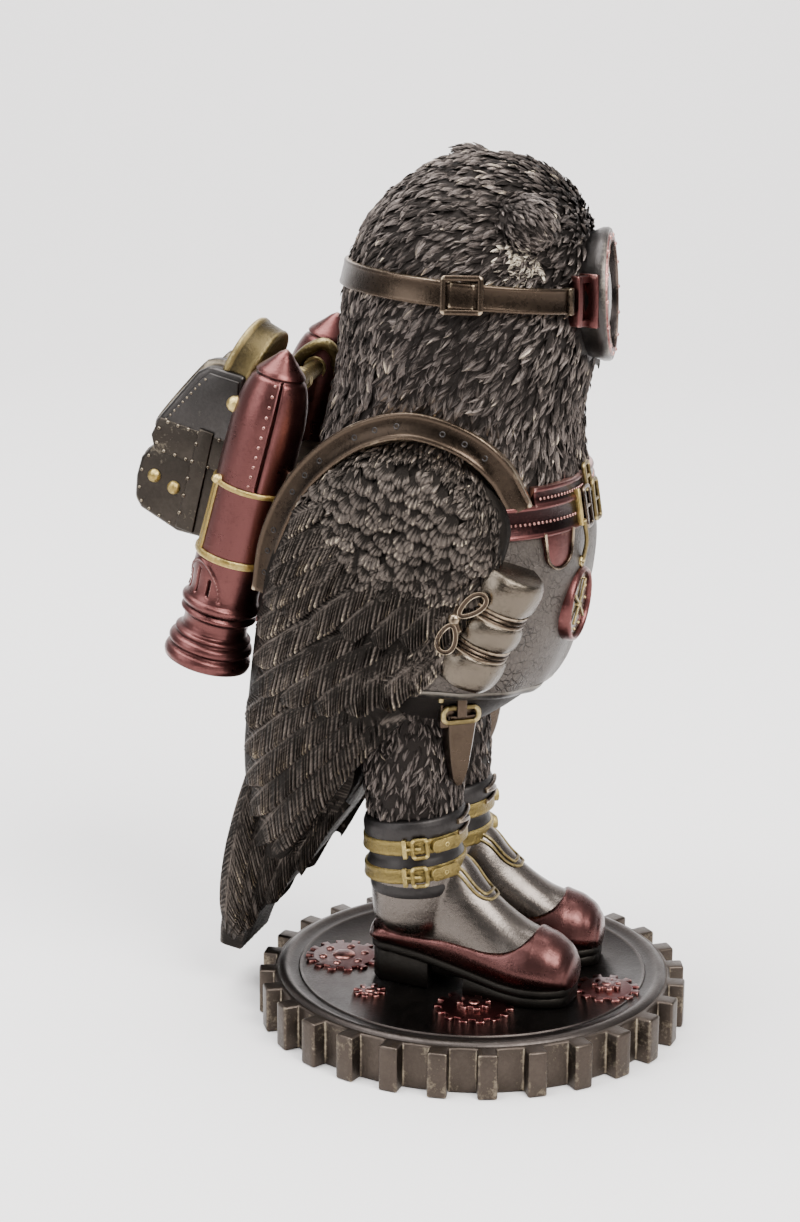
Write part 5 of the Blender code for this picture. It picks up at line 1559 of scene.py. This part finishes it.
# Radius of the ankle and of the cuffs by height
ANKLE = ((4.0, 3.4), (8.0, 4.4), (10.4, 5.6), (11.4, 6.9), (12.6, 7.6), (15.0, 8.0), (18.5, 8.3), (24.0, 8.6))
SHAFT = (
    (18.0, 8.1), (19.6, 8.5), (21.8, 8.5), (22.8, 8.9), (24.2, 9.2), (25.6, 8.9), (26.4, 8.6), (28.2, 8.6),
    (29.0, 9.0), (30.4, 9.5), (31.8, 9.7), (33.2, 9.5), (34.0, 8.9), (34.3, 8.0),
)

# Straps round a boot (height, radius) and the parts of a buckle by their turn in degrees
BOOT_STRAPS = ((23.4, 8.9), (29.0, 9.1))
BUCKLE_PARTS = ((186, "keeper"), (202, "frame"), (194, "tongue"), (232, "tip"))
BOOT_STRAP_WIDTH = 0.0028
BOOT_TILT = 1.1

# Piping down a boot's instep: place along the foot, share round its section, then each row's inset and end
PIPING = ((14.0, 0.385), (17.0, 0.385), (20.0, 0.39), (22.0, 0.41))
PIPING_ROWS = ((0.0, 23.6), (0.028, 22.7))
LACE_LEVELS = (30.4, 31.6, 32.8)
LACE_RADIUS = 9.8


def boot_axes(side):
    """Heel point, direction along the foot and direction to its outer side."""
    heel, toe = (grid(side * x, y, 0.0) for x, y in (HEEL_PLACE, TOE_PLACE))
    along = unit(toe - heel)
    return heel, along, np.cross(UP, along)


def foot_surface(side, places, shares, grow=0.0):
    """Points on a boot's upper by their place along the foot and their share round its section."""
    heel, along, across = boot_axes(side)
    places, shares = np.broadcast_arrays(np.asarray(places, float), shares)
    half, top = np.moveaxis(curve(BOOT_PLAN, places), -1, 0)
    out, up = np.moveaxis(curve(BOOT_SECTION, shares), -1, 0)
    base = curve(RAND, places)[..., 0]
    height = base + (top - base) * up + grow * np.clip(up * 2 - 1, 0, 1)
    wide = (half + grow) * out
    forward = places + grow * np.clip((places - 33) / 6, 0, 1) - grow * np.clip((4 - places) / 4, 0, 1)
    steps = along * forward[..., None] + across * wide[..., None] + UP * height[..., None]
    return heel + steps * STEP, height


def foot_places(count):
    """Places along the foot, closer together at its ends."""
    share = (1 - np.cos(np.linspace(0, math.pi, count))) / 2
    return BOOT_PLAN[0][0] + (0.6 * share + 0.4 * np.linspace(0, 1, count)) * (FOOT_LENGTH - BOOT_PLAN[0][0])


def sole_part(name, side, places, low, high, grow):
    """Layer of a sole between two heights, following the foot's outline."""
    heel, along, across = boot_axes(side)
    half = curve(BOOT_PLAN, places)[:, 0] + grow
    low, high = np.broadcast_to(low, places.shape), np.broadcast_to(high, places.shape)
    rings = []
    for place, wide, bottom, top in zip(places, half, low, high):
        edge = min(0.35, (top - bottom) * 0.3)
        corner = 1 - edge / wide
        section = [(-1, bottom + edge), (-1, top - edge), (-corner, top), (corner, top), (1, top - edge),
                   (1, bottom + edge), (corner, bottom), (-corner, bottom)]
        shift = place + (grow if place > 37.8 else -grow if place < 1 else 0)
        rings.append([heel + (along * shift + across * wide * a + UP * b) * STEP for a, b in section])
    return loft(name, rings)


def boot_upper(side, word):
    """Polished upper with its ankle, and the copper rand and toe cap over it."""
    upper, _ = foot_surface(side, foot_places(90)[:, None], np.linspace(0, 1, 61), -0.12)
    heights = np.linspace(4.2, 24.0, 40)
    ankle = loft("ankle", leg_rings(side, heights, curve(ANKLE, heights)[:, 0], 64))
    skin = smooth_body(f"boot_upper_{word}", [loft("foot", upper), ankle], 0.00044, 5)
    dressed(skin, PEWTER, "pewter", 1.2, 2)
    places = foot_places(150)[:, None]
    shares = np.linspace(0, 1, 141)
    _, level = foot_surface(side, places, shares)
    low, high = np.moveaxis(curve(RAND, places), -1, 0)
    body = np.clip((level - low) / np.maximum(np.minimum(high, 14) - low, 1), 0, 1)
    swell = 0.45 + 0.42 * np.sin(np.pi * body**0.8)
    rise = level - high
    grow = swell * np.sqrt(np.clip(-rise / 0.45, 0, 1)) - 0.75 * np.clip(rise / 0.25, 0, 1)
    rand, _ = foot_surface(side, places, shares, grow)
    dressed(loft(f"boot_rand_{word}", rand), BOOT_COPPER, "copper_red", 1.4, 2)


def boot_sole(side, word):
    """Welt, front sole, heel and the shank between them."""
    def under(places):
        return curve(RAND, places)[:, 0] - SOLE_LAYER

    line, front = np.linspace(0.0, 38.8, 80), np.linspace(19.6, 38.7, 44)
    back, middle = np.linspace(0.1, 12.4, 30), np.linspace(10.0, 22.0, 12)
    soles = [sole_part("welt", side, line, under(line), under(line) + SOLE_LAYER + 0.35, 0.40),
             sole_part("outsole", side, front, SOLE_LOW, under(front) + 0.1, 0.30),
             sole_part("heel", side, back, SOLE_LOW, under(back) + 0.1, 0.10),
             sole_part("shank", side, middle, 2.7, under(middle) + SOLE_LAYER, -1.3)]
    dressed(joined(f"boot_sole_{word}", soles), SOLE, "owl_bronze", 0.2)


def boot_straps(side, word):
    """Two brass straps round a boot, each with keeper, buckle frame, tongue and tip."""
    brass = []
    for height, radius in BOOT_STRAPS:
        ring, outwards = leg_round(side, height, radius, circle(80), BOOT_TILT)
        section = band_section(BOOT_STRAP_WIDTH, -0.001, 0.00075, 0.00008)
        brass.append(sweep("strap", ring, outwards, section, True))
        for degrees, kind in BUCKLE_PARTS:
            angle = math.radians(degrees) if side < 0 else math.pi - math.radians(degrees)
            at, normal = leg_round(side, height, radius + 0.00085 / STEP, np.array(angle), BOOT_TILT)
            around = unit(np.cross(UP, normal) - UP * BOOT_TILT / radius * math.cos(angle))
            axes = (around, np.cross(normal, around), normal)
            if kind == "keeper":
                brass.append(slab("keeper", at, (0.0009, 0.0036, 0.0010), axes, 0.0002))
            elif kind == "frame":
                brass.append(wire_frame("frame", at + normal * 0.0003, axes, 0.0034, 0.0042, 0.0007, 0.0006))
            elif kind == "tongue":
                brass.append(slab("tongue", at + normal * 0.0002, (0.0034, 0.0005, 0.0005), axes, 0.0001))
            else:
                brass.append(plate("tip", oblong(0.0062, 0.0026, 0.0011), at, axes, -0.0008, 0.0004))
                brass.append(eyelets("hole", [at + normal * 0.0004], [normal], 0.00035, 0.00012))
    dressed(joined(f"boot_straps_{word}", brass), HAMMERED, "worn_brass")


def boots():
    """Boots with polished uppers, copper toe caps, layered soles, cuffs, straps, piping and laces."""
    for side, word in SIDES:
        boot_upper(side, word)
        boot_sole(side, word)
        heights = np.linspace(18.0, 34.3, 64)
        rings = leg_rings(side, heights, curve(SHAFT, heights)[:, 0], 80)
        rings[..., 2] -= BOOT_TILT * STEP * np.sin(circle(80)) * np.clip((heights - 18) / 5, 0, 1)[:, None]
        dressed(loft(f"boot_cuff_{word}", rings), DARK_GREY, "owl_bronze")
        boot_straps(side, word)
        pipings = []
        for inset, reach in PIPING_ROWS:
            run = [(place, share + inset) for place, share in PIPING]
            run += [(reach - 0.3, 0.45 + inset * 0.5), (reach, 0.5)]
            run += [(place, 1 - share) for place, share in reversed(run[:-1])]
            path = smooth_path([(*row, 0.0) for row in run], 60)
            points, _ = foot_surface(side, path[:, 0], path[:, 1], 0.05)
            pipings.append(tube("pipe", points, 0.00032, 8))
        dressed(joined(f"boot_piping_{word}", pipings), DARK_BRASS, "worn_brass")
        laces = []
        for k, level in enumerate(LACE_LEVELS):
            turn = np.linspace(-0.34, 0.34, 10) - math.pi / 2
            points, _ = leg_round(side, level, LACE_RADIUS, turn)
            tilt = BOOT_TILT + 0.5 * (-1) ** k * np.linspace(-1, 1, 10)
            laces.append(tube("lace", points + UP * tilt[:, None] * STEP, 0.00042, 8))
        dressed(joined(f"boot_laces_{word}", laces), STRAP_BRONZE, "strap_bronze")


# Jet pack: sizes as in the frame
TANK_SPACING = 0.0275
TANK_RADIUS = 0.0068
TANK_LENGTH = 0.0620
TANK_LEAN = math.radians(15.5)
TANK_STAGGER = 0.0030
TANK_FRONT = (42.1, 61.4)
TANK_BANDS = ((0.355, 0.0011), (0.578, 0.0008))
BOX_SEAT = 0.0038

# Share of the tank's length, share of its radius
TANK_SHAPE = (
    (0.000, 1.02), (0.004, 1.14), (0.012, 1.19), (0.030, 1.20), (0.040, 1.15), (0.046, 1.07), (0.050, 1.07),
    (0.056, 1.14), (0.070, 1.16), (0.080, 1.10), (0.085, 1.02), (0.089, 1.02), (0.095, 1.06), (0.100, 1.05),
    (0.106, 0.95), (0.120, 0.90), (0.140, 0.90), (0.154, 0.95), (0.160, 1.03), (0.168, 1.05), (0.174, 1.01),
    (0.178, 0.98), (0.184, 1.03), (0.194, 1.09), (0.206, 1.08), (0.214, 1.01), (0.220, 0.99), (0.300, 1.00),
    (0.500, 1.00), (0.740, 1.00), (0.790, 0.985), (0.830, 0.945), (0.865, 0.88), (0.895, 0.79), (0.912, 0.71),
    (0.918, 0.65), (0.922, 0.645), (0.926, 0.68), (0.931, 0.66), (0.955, 0.46), (0.980, 0.24), (0.994, 0.12),
    (1.000, 0.03),
)
TANK_AXIS = np.array((0.0, -math.sin(TANK_LEAN), math.cos(TANK_LEAN)))
TANK_REAR = np.array((0.0, math.cos(TANK_LEAN), math.sin(TANK_LEAN)))

# Seam and arched window on a tank's shell: turns in degrees, shares of its length, half width and slots
SEAM_TURN = -26.0
SEAM_SPAN = (0.585, 0.918)
ARCH_TURN = 34.0
ARCH_SPAN = (0.222, 0.333)
ARCH_HALF = 0.0056
ARCH_SLOTS = (-0.0029, 0.0, 0.0029)
RIVET_TURNS = (-13, 168)
RIVET_SHARES = np.linspace(0.60, 0.905, 11)
BAR_TURNS = (47, 56)

# Section of a band round a tank: metres off its radius, share of the band's half width
TANK_BAND = ((-0.0012, -0.6), (-0.0002, -0.6), (0, -0.3), (0, 0.3), (-0.0002, 0.6), (-0.0012, 0.6))


def tank_middle(side, share):
    """Points on the middle line of a tank, or between the tanks for side 0."""
    foot = grid(0, *TANK_FRONT) + (side * TANK_SPACING / 2, TANK_RADIUS, side * TANK_STAGGER / 2)
    return foot + TANK_AXIS * np.asarray(share)[..., None] * TANK_LENGTH


def tank_surface(side, share, turn, out=0.0):
    """Points on a tank and their outward directions. The turn goes from its outer side towards its rear."""
    share, turn, out = np.broadcast_arrays(np.asarray(share, float), turn, out)
    radius = curve(TANK_SHAPE, share)[..., 0] * TANK_RADIUS + out
    way = np.array((side, 0.0, 0.0)) * np.cos(turn)[..., None] + TANK_REAR * np.sin(turn)[..., None]
    return tank_middle(side, share) + way * radius[..., None], way


def tank_relief(share, turn):
    """Raised seam and arched window with slots on a tank's shell, in metres."""
    degrees = np.degrees(np.remainder(turn + math.pi, 2 * math.pi) - math.pi)
    run = share * TANK_LENGTH

    def ridge(distance, half):
        return np.clip(1 - (np.abs(distance) / half) ** 2, 0, 1)

    arc = np.radians(degrees - SEAM_TURN) * TANK_RADIUS
    on_seam = (share > SEAM_SPAN[0]) & (share < SEAM_SPAN[1])
    relief = on_seam * (0.00022 * ridge(arc - 0.0004, 0.0004) - 0.00040 * ridge(arc + 0.0001, 0.00035))
    across = np.radians(degrees - ARCH_TURN) * TANK_RADIUS
    foot, top = (end * TANK_LENGTH for end in ARCH_SPAN)
    arch_top = foot + (top - foot) * np.clip(1 - (np.abs(across) / ARCH_HALF) ** 1.8, 0, 1) ** 0.6
    inside = (np.abs(across) < ARCH_HALF + 0.0004) & (run > foot) & (run < arch_top + 0.0004)
    edge = np.minimum(np.abs(run - arch_top), np.abs(ARCH_HALF - np.abs(across)) * 1.5)
    relief = relief + inside * 0.00030 * ridge(edge, 0.0004)
    for slot in ARCH_SLOTS:
        tall = 0.0019 + 0.0008 * (slot == 0.0)
        shape = np.clip((0.00042 - np.abs(across - slot)) / 0.00016, 0, 1)
        shape = shape * np.clip((tall - np.abs(run - (foot + arch_top) / 2 + 0.0005)) / 0.0003, 0, 1)
        relief = relief - 0.00055 * shape
    return relief


def tanks():
    """Rocket tanks with their caps, seams, rivets, bands and nozzles."""
    shares = np.unique(np.concatenate((np.linspace(0, 1, 84), np.linspace(0.0, 0.34, 110),
                                       np.linspace(0.90, 0.94, 14))))
    turns = np.radians(np.concatenate((np.arange(-42, 82, 2.5), np.arange(83.0, 317.0, 7.5))))
    share, turn = np.meshgrid(shares, turns, indexing="ij")
    for side, word in SIDES:
        rings, _ = tank_surface(side, share, turn, tank_relief(share, turn))
        bits = [loft(f"tank_{word}", rings)]
        for degrees in RIVET_TURNS:
            places, ways = tank_surface(side, RIVET_SHARES, math.radians(degrees))
            bits.append(studs("heads", places, ways, 0.00034, 0.7))
        dressed(joined(f"tank_shell_{word}", bits), COPPER_RED, "copper_red", 2.4, 2)
        brass = []
        for place, half in TANK_BANDS:
            profile = [(TANK_RADIUS + 0.00055 + out, half * along) for out, along in TANK_BAND]
            brass.append(turned("band", profile, 72, tank_middle(side, place), TANK_AXIS))
        strip = np.linspace(TANK_BANDS[0][0], TANK_BANDS[1][0], 20)
        for degrees in BAR_TURNS:
            path, ways = tank_surface(side, strip, math.radians(degrees), 0.0001)
            brass.append(sweep("bar", path, ways, band_section(0.0008, -0.0004, 0.0003, 0.0, 0.0002)))
        places, ways = tank_surface(side, [TANK_BANDS[1][0] + 0.006], math.radians(44), 0.0004)
        brass.append(studs("knob", places, ways, 0.0009, 1.2, 12))
        if side < 0:
            nub, way = tank_surface(side, [0.80], math.radians(74))
            brass.append(studs("nub", nub, way, 0.0016, 1.0, 14))
        dressed(joined(f"tank_bands_{word}", brass), BRASS, "worn_brass")


# Side of the box between the tanks, in grid steps (y, z)
BOX_BODY = ((42.0, 113.4), (49.0, 115.0), (51.4, 113.8), (59.8, 104.4), (60.6, 101.8), (60.2, 98.6),
            (44.0, 96.0))
BOX_PANEL = ((43.0, 112.4), (48.8, 113.8), (50.6, 112.6), (58.6, 103.9), (44.0, 99.8))
BOX_BELT = ((58.8, 105.0), (60.6, 101.6), (60.0, 98.8), (43.0, 94.2), (43.0, 100.6))
POUCH = ((46.0, 97.0), (60.4, 99.8), (62.9, 97.2), (64.0, 93.6), (64.4, 89.4), (63.2, 87.4), (56.0, 83.4),
         (46.0, 81.6))
BOX_DIVIDER = ((50.8, 103.4), (47.9, 102.6), (52.4, 83.4), (55.9, 84.4))
BOX_KNOBS = ((60.1, 93.8), (56.2, 91.8))
BOX_MIDDLE = (50.0, 98.0)
REAR_STRAP = ((46.0, 115.4), (49.4, 115.5), (51.9, 114.2), (60.4, 104.7), (61.2, 101.8), (60.8, 99.6),
              (63.4, 97.4), (64.5, 93.6), (64.9, 89.2), (63.6, 87.0), (56.2, 83.0))

# Rivets: outline, spacing, inset, edges left out, radius, how far beyond the box's side
BOX_RIVETS = (
    (BOX_PANEL, 0.0011, 0.0007, (0, 3, 4), 0.00024, -0.0002),
    (BOX_BELT, 0.0021, 0.0009, (3,), 0.00034, 0.0),
    (POUCH, 0.0019, 0.0011, (0, 6, 7), 0.00030, -0.0002),
    (BOX_DIVIDER, 0.0030, 0.0013, (0, 1, 2), 0.00038, 0.0004),
)


def box_outline(points, grow=0.0):
    """Outline in metres, (y, z), moved in or out from its middle by grid steps."""
    points = np.array(points, float)
    middle = points.mean(axis=0)
    points = points + unit(points - middle) * grow
    return grid(0, *points.T)[:, 1:]


def box_slab(name, outline, half, bevel):
    """Block across the jet pack with an outline seen from the side."""
    flat = box_outline(outline)
    rings = [np.column_stack((np.full(len(flat), x), flat)) for x in (-half, half)]
    return rounded(loft(name, rings), bevel, 3)


def edge_places(outline, spacing, inset, skip):
    """Evenly spaced points along an outline's edges, in metres, (y, z)."""
    corners = box_outline(outline, -inset / STEP)
    places = []
    for k in range(len(corners)):
        if k in skip:
            continue
        a, b = corners[k], corners[(k + 1) % len(corners)]
        count = max(1, int(np.linalg.norm(b - a) / spacing))
        places += [a + (b - a) * (i + 0.5) / count for i in range(count)]
    return np.array(places)


def box():
    """Pewter box over a pouch, with panels, straps, rows of rivets and brass knobs."""
    half = TANK_SPACING / 2 - TANK_RADIUS + BOX_SEAT
    body = box_slab("body", BOX_BODY, half - 0.0006, 0.0009)
    panel = box_slab("panel", BOX_PANEL, half - 0.0002, 0.0003)
    dressed(joined("box_body", [body, panel]), BOX_GREY, "pewter", 1.8, 2)
    belt = box_slab("belt", BOX_BELT, half, 0.00035)
    pouch = box_slab("pouch", POUCH, half - 0.0002, 0.0011)
    strap = box_slab("strap", BOX_DIVIDER, half + 0.0004, 0.0003)
    rear_strap = []
    heads = []
    for x in (-0.5, 0.5):
        points = smooth_path([(x * half, *pair) for pair in box_outline(REAR_STRAP)], 50)
        ways = unit(points - grid(0, *BOX_MIDDLE) - (x * half, 0, 0))
        rear_strap.append(sweep("strap", points, ways, band_section(0.0026, -0.001, 0.0002, 0.0001)))
        heads.append(studs("heads", (points + ways * 0.0001)[5:42:4], ways[5:42:4], 0.00036, 0.5))
    dressed(joined("box_straps", [belt, pouch, strap] + rear_strap), BOX_BROWN, "pewter", 1.8, 2)
    for side in (-1, 1):
        for outline, spacing, inset, skip, radius, out in BOX_RIVETS:
            spot = edge_places(outline, spacing, inset, skip)
            places = np.column_stack((np.full(len(spot), side * (half + out)), spot))
            heads.append(studs("heads", places, (side, 0, 0), radius, 0.75))
    dressed(joined("box_rivets", heads), BOX_BROWN, "pewter")
    knobs = []
    for side in (-1, 1):
        for pair in box_outline(BOX_KNOBS):
            place = np.array((side * (half - 0.0003), *pair))
            knobs.append(studs("knob", [place], [(side, 0, 0)], 0.00135, 0.85, 16))
    dressed(joined("box_knobs", knobs), BRASS, "worn_brass")


# Gauge drum, with its profile as shares of its radius and of its thickness
GAUGE_PLACE = (-2.0, 43.2, 115.2)
GAUGE_AXIS = (0.0, 0.88, 0.47)
GAUGE_RADIUS = 0.0076
GAUGE_THICKNESS = 0.0058
GAUGE_PROFILE = ((0.80, -0.50), (0.93, -0.49), (0.985, -0.44), (1.0, -0.38), (0.985, -0.30), (0.985, 0.22),
                 (1.02, 0.28), (1.03, 0.38), (0.99, 0.47), (0.90, 0.50), (0.80, 0.48), (0.76, 0.38),
                 (0.75, 0.30))
PIPE_SHARE = 0.845
COLLAR_SHARES = (0.30, 0.5, 0.80)
COLLAR = ((0.0010, -0.0008), (0.0022, -0.0008), (0.0023, 0.0), (0.0022, 0.0008), (0.0010, 0.0008))

# Elbow by the left tank: share of the tank's length, then metres from its middle line
ELBOW = ((0.80, -0.0030, -0.0030, 0.0), (0.86, -0.0052, -0.0038, 0.0006), (0.90, -0.0068, -0.0012, 0.0010),
         (0.87, -0.0066, 0.0030, 0.0), (0.78, -0.0060, 0.0042, 0.0))
BACK_PLATE_SIZE = (0.0315, 0.0190, 0.0223)


def gauge_and_pipes():
    """Brass gauge drum, the pipes and the elbow between the tanks, and the plate that carries them."""
    depth, r = GAUGE_THICKNESS, GAUGE_RADIUS
    place = grid(*GAUGE_PLACE)
    axis = unit(np.array(GAUGE_AXIS))
    drum = turned("drum", scaled(GAUGE_PROFILE, r, depth), 80, place, axis)
    across = np.array((1.0, 0.0, 0.0))
    up = np.cross(axis, across)
    face = place + axis * depth * 0.31
    turn = np.arange(10)[:, None] * math.radians(30) - math.radians(45)
    ticks = studs("ticks", face + (across * np.cos(turn) + up * np.sin(turn)) * r * 0.60, axis, 0.0003)
    way = across * 0.6 + up * 0.8
    hand = slab("hand", face + axis * 0.0003 + way * 0.0012, (0.0042, 0.0007, 0.0005),
                (way, np.cross(axis, way), axis), 0.00015)
    bits = [drum, ticks, hand, studs("hub", [face + axis * 0.0002], axis, 0.0008)]
    start, end = tank_middle(-1, PIPE_SHARE), tank_middle(1, PIPE_SHARE)
    path = smooth_path((start, (start + end) / 2 + (0, -0.0006, 0.0004), end), 24)
    bits.append(tube("pipe", path, 0.0016, 16))
    for share in COLLAR_SHARES:
        bits.append(turned("collar", COLLAR, 24, start + (end - start) * share, end - start))
    elbow = [tank_middle(1, share) + offset for share, *offset in ELBOW]
    bits.append(tube("elbow", smooth_path(elbow, 30), 0.00115, 12))
    dressed(joined("gauge_and_pipes", bits), DARK_BRASS, "worn_brass")
    middle = tank_middle(0, 0.46) - TANK_REAR * (0.0014 + BACK_PLATE_SIZE[1] / 2)
    back = slab("back", middle, BACK_PLATE_SIZE, ((1, 0, 0), TANK_REAR, TANK_AXIS), 0.0010)
    dressed(back, BOX_BROWN, "pewter")
    back.name = "jet_pack_back_plate"
    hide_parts("jet_pack")


PINION_TEETH = 7

# Relief gears on the deck, with lengths as shares of its radius: x, y, radius, teeth, pinion radius
RELIEF_GEARS = (
    (-0.12, 0.68, 0.204, 14, 0.0),
    (-0.52, 0.40, 0.086, 8, 0.0),
    (-0.54, -0.17, 0.204, 14, 0.088),
    (-0.09, -0.757, 0.174, 12, 0.077),
)


def relief_gears():
    """Low copper-red gears on the deck, some with a pinion."""
    top = PLINTH_THICKNESS
    for k, (x, y, radius, teeth, pinion) in enumerate(RELIEF_GEARS):
        place = (x * DECK_RADIUS, y * DECK_RADIUS)
        reach = radius * DECK_RADIUS
        bits = [gear("wheel", place, reach, 0.0013, teeth, 0.50, top - 0.0006, top + 0.00058, 0.00016)]
        if pinion:
            bits.append(gear("pinion", place, pinion * DECK_RADIUS, 0.0010, PINION_TEETH, 0.5, top,
                             top + 0.00138, 0.00014))
            bits.append(studs("hub", [(*place, top + 0.0013)], (0, 0, 1), pinion * DECK_RADIUS * 0.35, 0.3, 12))
        else:
            bits.append(studs("hub", [(*place, top + 0.0006)], (0, 0, 1), reach * 0.30, 0.3, 16))
            turn = circle(6)
            around = np.column_stack((place[0] + reach * 0.56 * np.cos(turn),
                                      place[1] + reach * 0.56 * np.sin(turn), np.full(6, top + 0.0006)))
            bits.append(studs("bosses", around, (0, 0, 1), reach * 0.11, 0.5, 10))
        dressed(joined(f"relief_gear_{k}", bits), COPPER_DARK, "copper_red", 2.6)


def camera():
    """Camera at its fitted place."""
    data = bpy.data.cameras.new("camera")
    data.sensor_fit = "HORIZONTAL"
    data.sensor_width = 36.0
    data.lens = CAMERA_LENS
    made = linked("camera", data)
    way = (CAMERA_TARGET - CAMERA_PLACE).to_track_quat("-Z", "Y")
    roll = Matrix.Rotation(CAMERA_ROLL, 4, "Z")
    made.matrix_world = Matrix.Translation(CAMERA_PLACE) @ way.to_matrix().to_4x4() @ roll
    bpy.context.scene.camera = made


# Stage: a pale paper sweep, soft lights and the studio round them

PAPER_NEAR = -1.6
PAPER_BEND = 0.75
PAPER_RADIUS = 0.9
PAPER_TOP = 3.0
PAPER_HALF_WIDTH = 2.5
PAPER_TURN = math.radians(17)
ORIGIN = (0.0, 0.01, 0.07)

# Name, place, size, power, colour, target
LIGHTS = (
    ("window", (-0.55, -0.75, 0.95), 0.75, 32.0, (1.0, 0.985, 0.96), ORIGIN),
    ("overhead", (-0.15, 0.35, 1.15), 0.80, 21.0, (1.0, 1.0, 1.0), ORIGIN),
    ("left fill", (-0.85, 0.75, 0.55), 0.70, 9.0, (0.96, 0.98, 1.0), ORIGIN),
    ("backdrop", (0.35, 0.10, 1.5), 0.90, 26.0, (1.0, 0.99, 0.985), (1.5, 0.45, 0.5)),
)


# Shades of the studio round the object: direction, then the range along it and its strengths
SKY = (
    ((0.0, 0.0, 1.0), -0.1, 0.75, 0.62, 1.02),
    ((-0.93, -0.33, -0.1), 0.45, 0.95, 1.0, 0.42),
    ((0.30, -0.93, -0.2), 0.50, 0.95, 1.0, 0.45),
)


def stage():
    """Paper sweep behind the object, with painted light that makes its wall lighter, the lights and the sky."""
    profile = [(PAPER_NEAR, 0.0), (PAPER_BEND, 0.0)]
    for a in np.linspace(0.1, math.pi / 2, 14):
        profile.append((PAPER_BEND + PAPER_RADIUS * math.sin(a), PAPER_RADIUS * (1 - math.cos(a))))
    profile.append((PAPER_BEND + PAPER_RADIUS, PAPER_TOP))
    away = np.array((math.cos(PAPER_TURN), math.sin(PAPER_TURN), 0.0))
    across = np.cross(UP, away)
    points = np.array([[away * place + across * side * PAPER_HALF_WIDTH + UP * height for side in (-1, 1)]
                       for place, height in profile])
    index = np.arange(len(profile) * 2).reshape(-1, 2)
    quads = np.stack((index[:-1, 0], index[1:, 0], index[1:, 1], index[:-1, 1]), axis=-1)
    floor = build("paper_sweep", points, [quads])
    floor.data.shade_smooth()
    finish = Finish("pale paper", 0.0)
    broad = finish.noise(3.0, 3.0)
    grain = finish.noise(900.0, 3.0)
    color = finish.mix(broad, (0.745, 0.732, 0.728), (0.775, 0.762, 0.757))
    # Painted light: the same paper is coloured lighter with height, up the wall of the sweep.
    painted_light_height = finish.add("ShaderNodeSeparateXYZ", {0: finish.place}).outputs[2]
    color = finish.mix(finish.span(painted_light_height, -0.1, 0.5), color, (0.97, 0.945, 0.94))
    floor.data.materials.append(finish.done(color, finish.span(grain, 0.3, 0.7, 0.8, 0.95),
                                            finish.bump(grain, 0.00003)))
    floor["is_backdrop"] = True
    for name, place, size, power, color, target in LIGHTS:
        data = bpy.data.lights.new(name, "AREA")
        data.shape = "SQUARE"
        data.size = size
        data.energy = power
        data.color = color
        lamp = linked(name, data)
        lamp.location = place
        lamp.rotation_euler = (Vector(target) - Vector(place)).to_track_quat("-Z", "Y").to_euler()
    world = bpy.data.worlds.new("studio")
    world.use_nodes = True
    sky = Nodes(world.node_tree)
    way = sky.add("ShaderNodeTexCoord").outputs["Generated"]
    strength = 1.0
    for aim, low, high, dark, light in SKY:
        facing = sky.add("ShaderNodeVectorMath", {0: way, 1: aim}, operation="DOT_PRODUCT").outputs["Value"]
        strength = sky.math("MULTIPLY", strength, sky.span(facing, low, high, dark, light))
    background = world.node_tree.nodes["Background"]
    background.inputs["Color"].default_value = (0.95, 0.945, 0.96, 1.0)
    sky.put(background.inputs["Strength"], strength)
    bpy.context.scene.world = world


torso()
plumage()
wings()
tail()
legs()
goggles()
beak()
ear_tufts()
harness()
chest()
apron()
bedroll()
garters()
boots()
tanks()
box()
gauge_and_pipes()
plinth()
relief_gears()
camera()
stage()

[[list(map(float, corner)) for corner in box] for box in (CAD_BOX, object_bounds())]
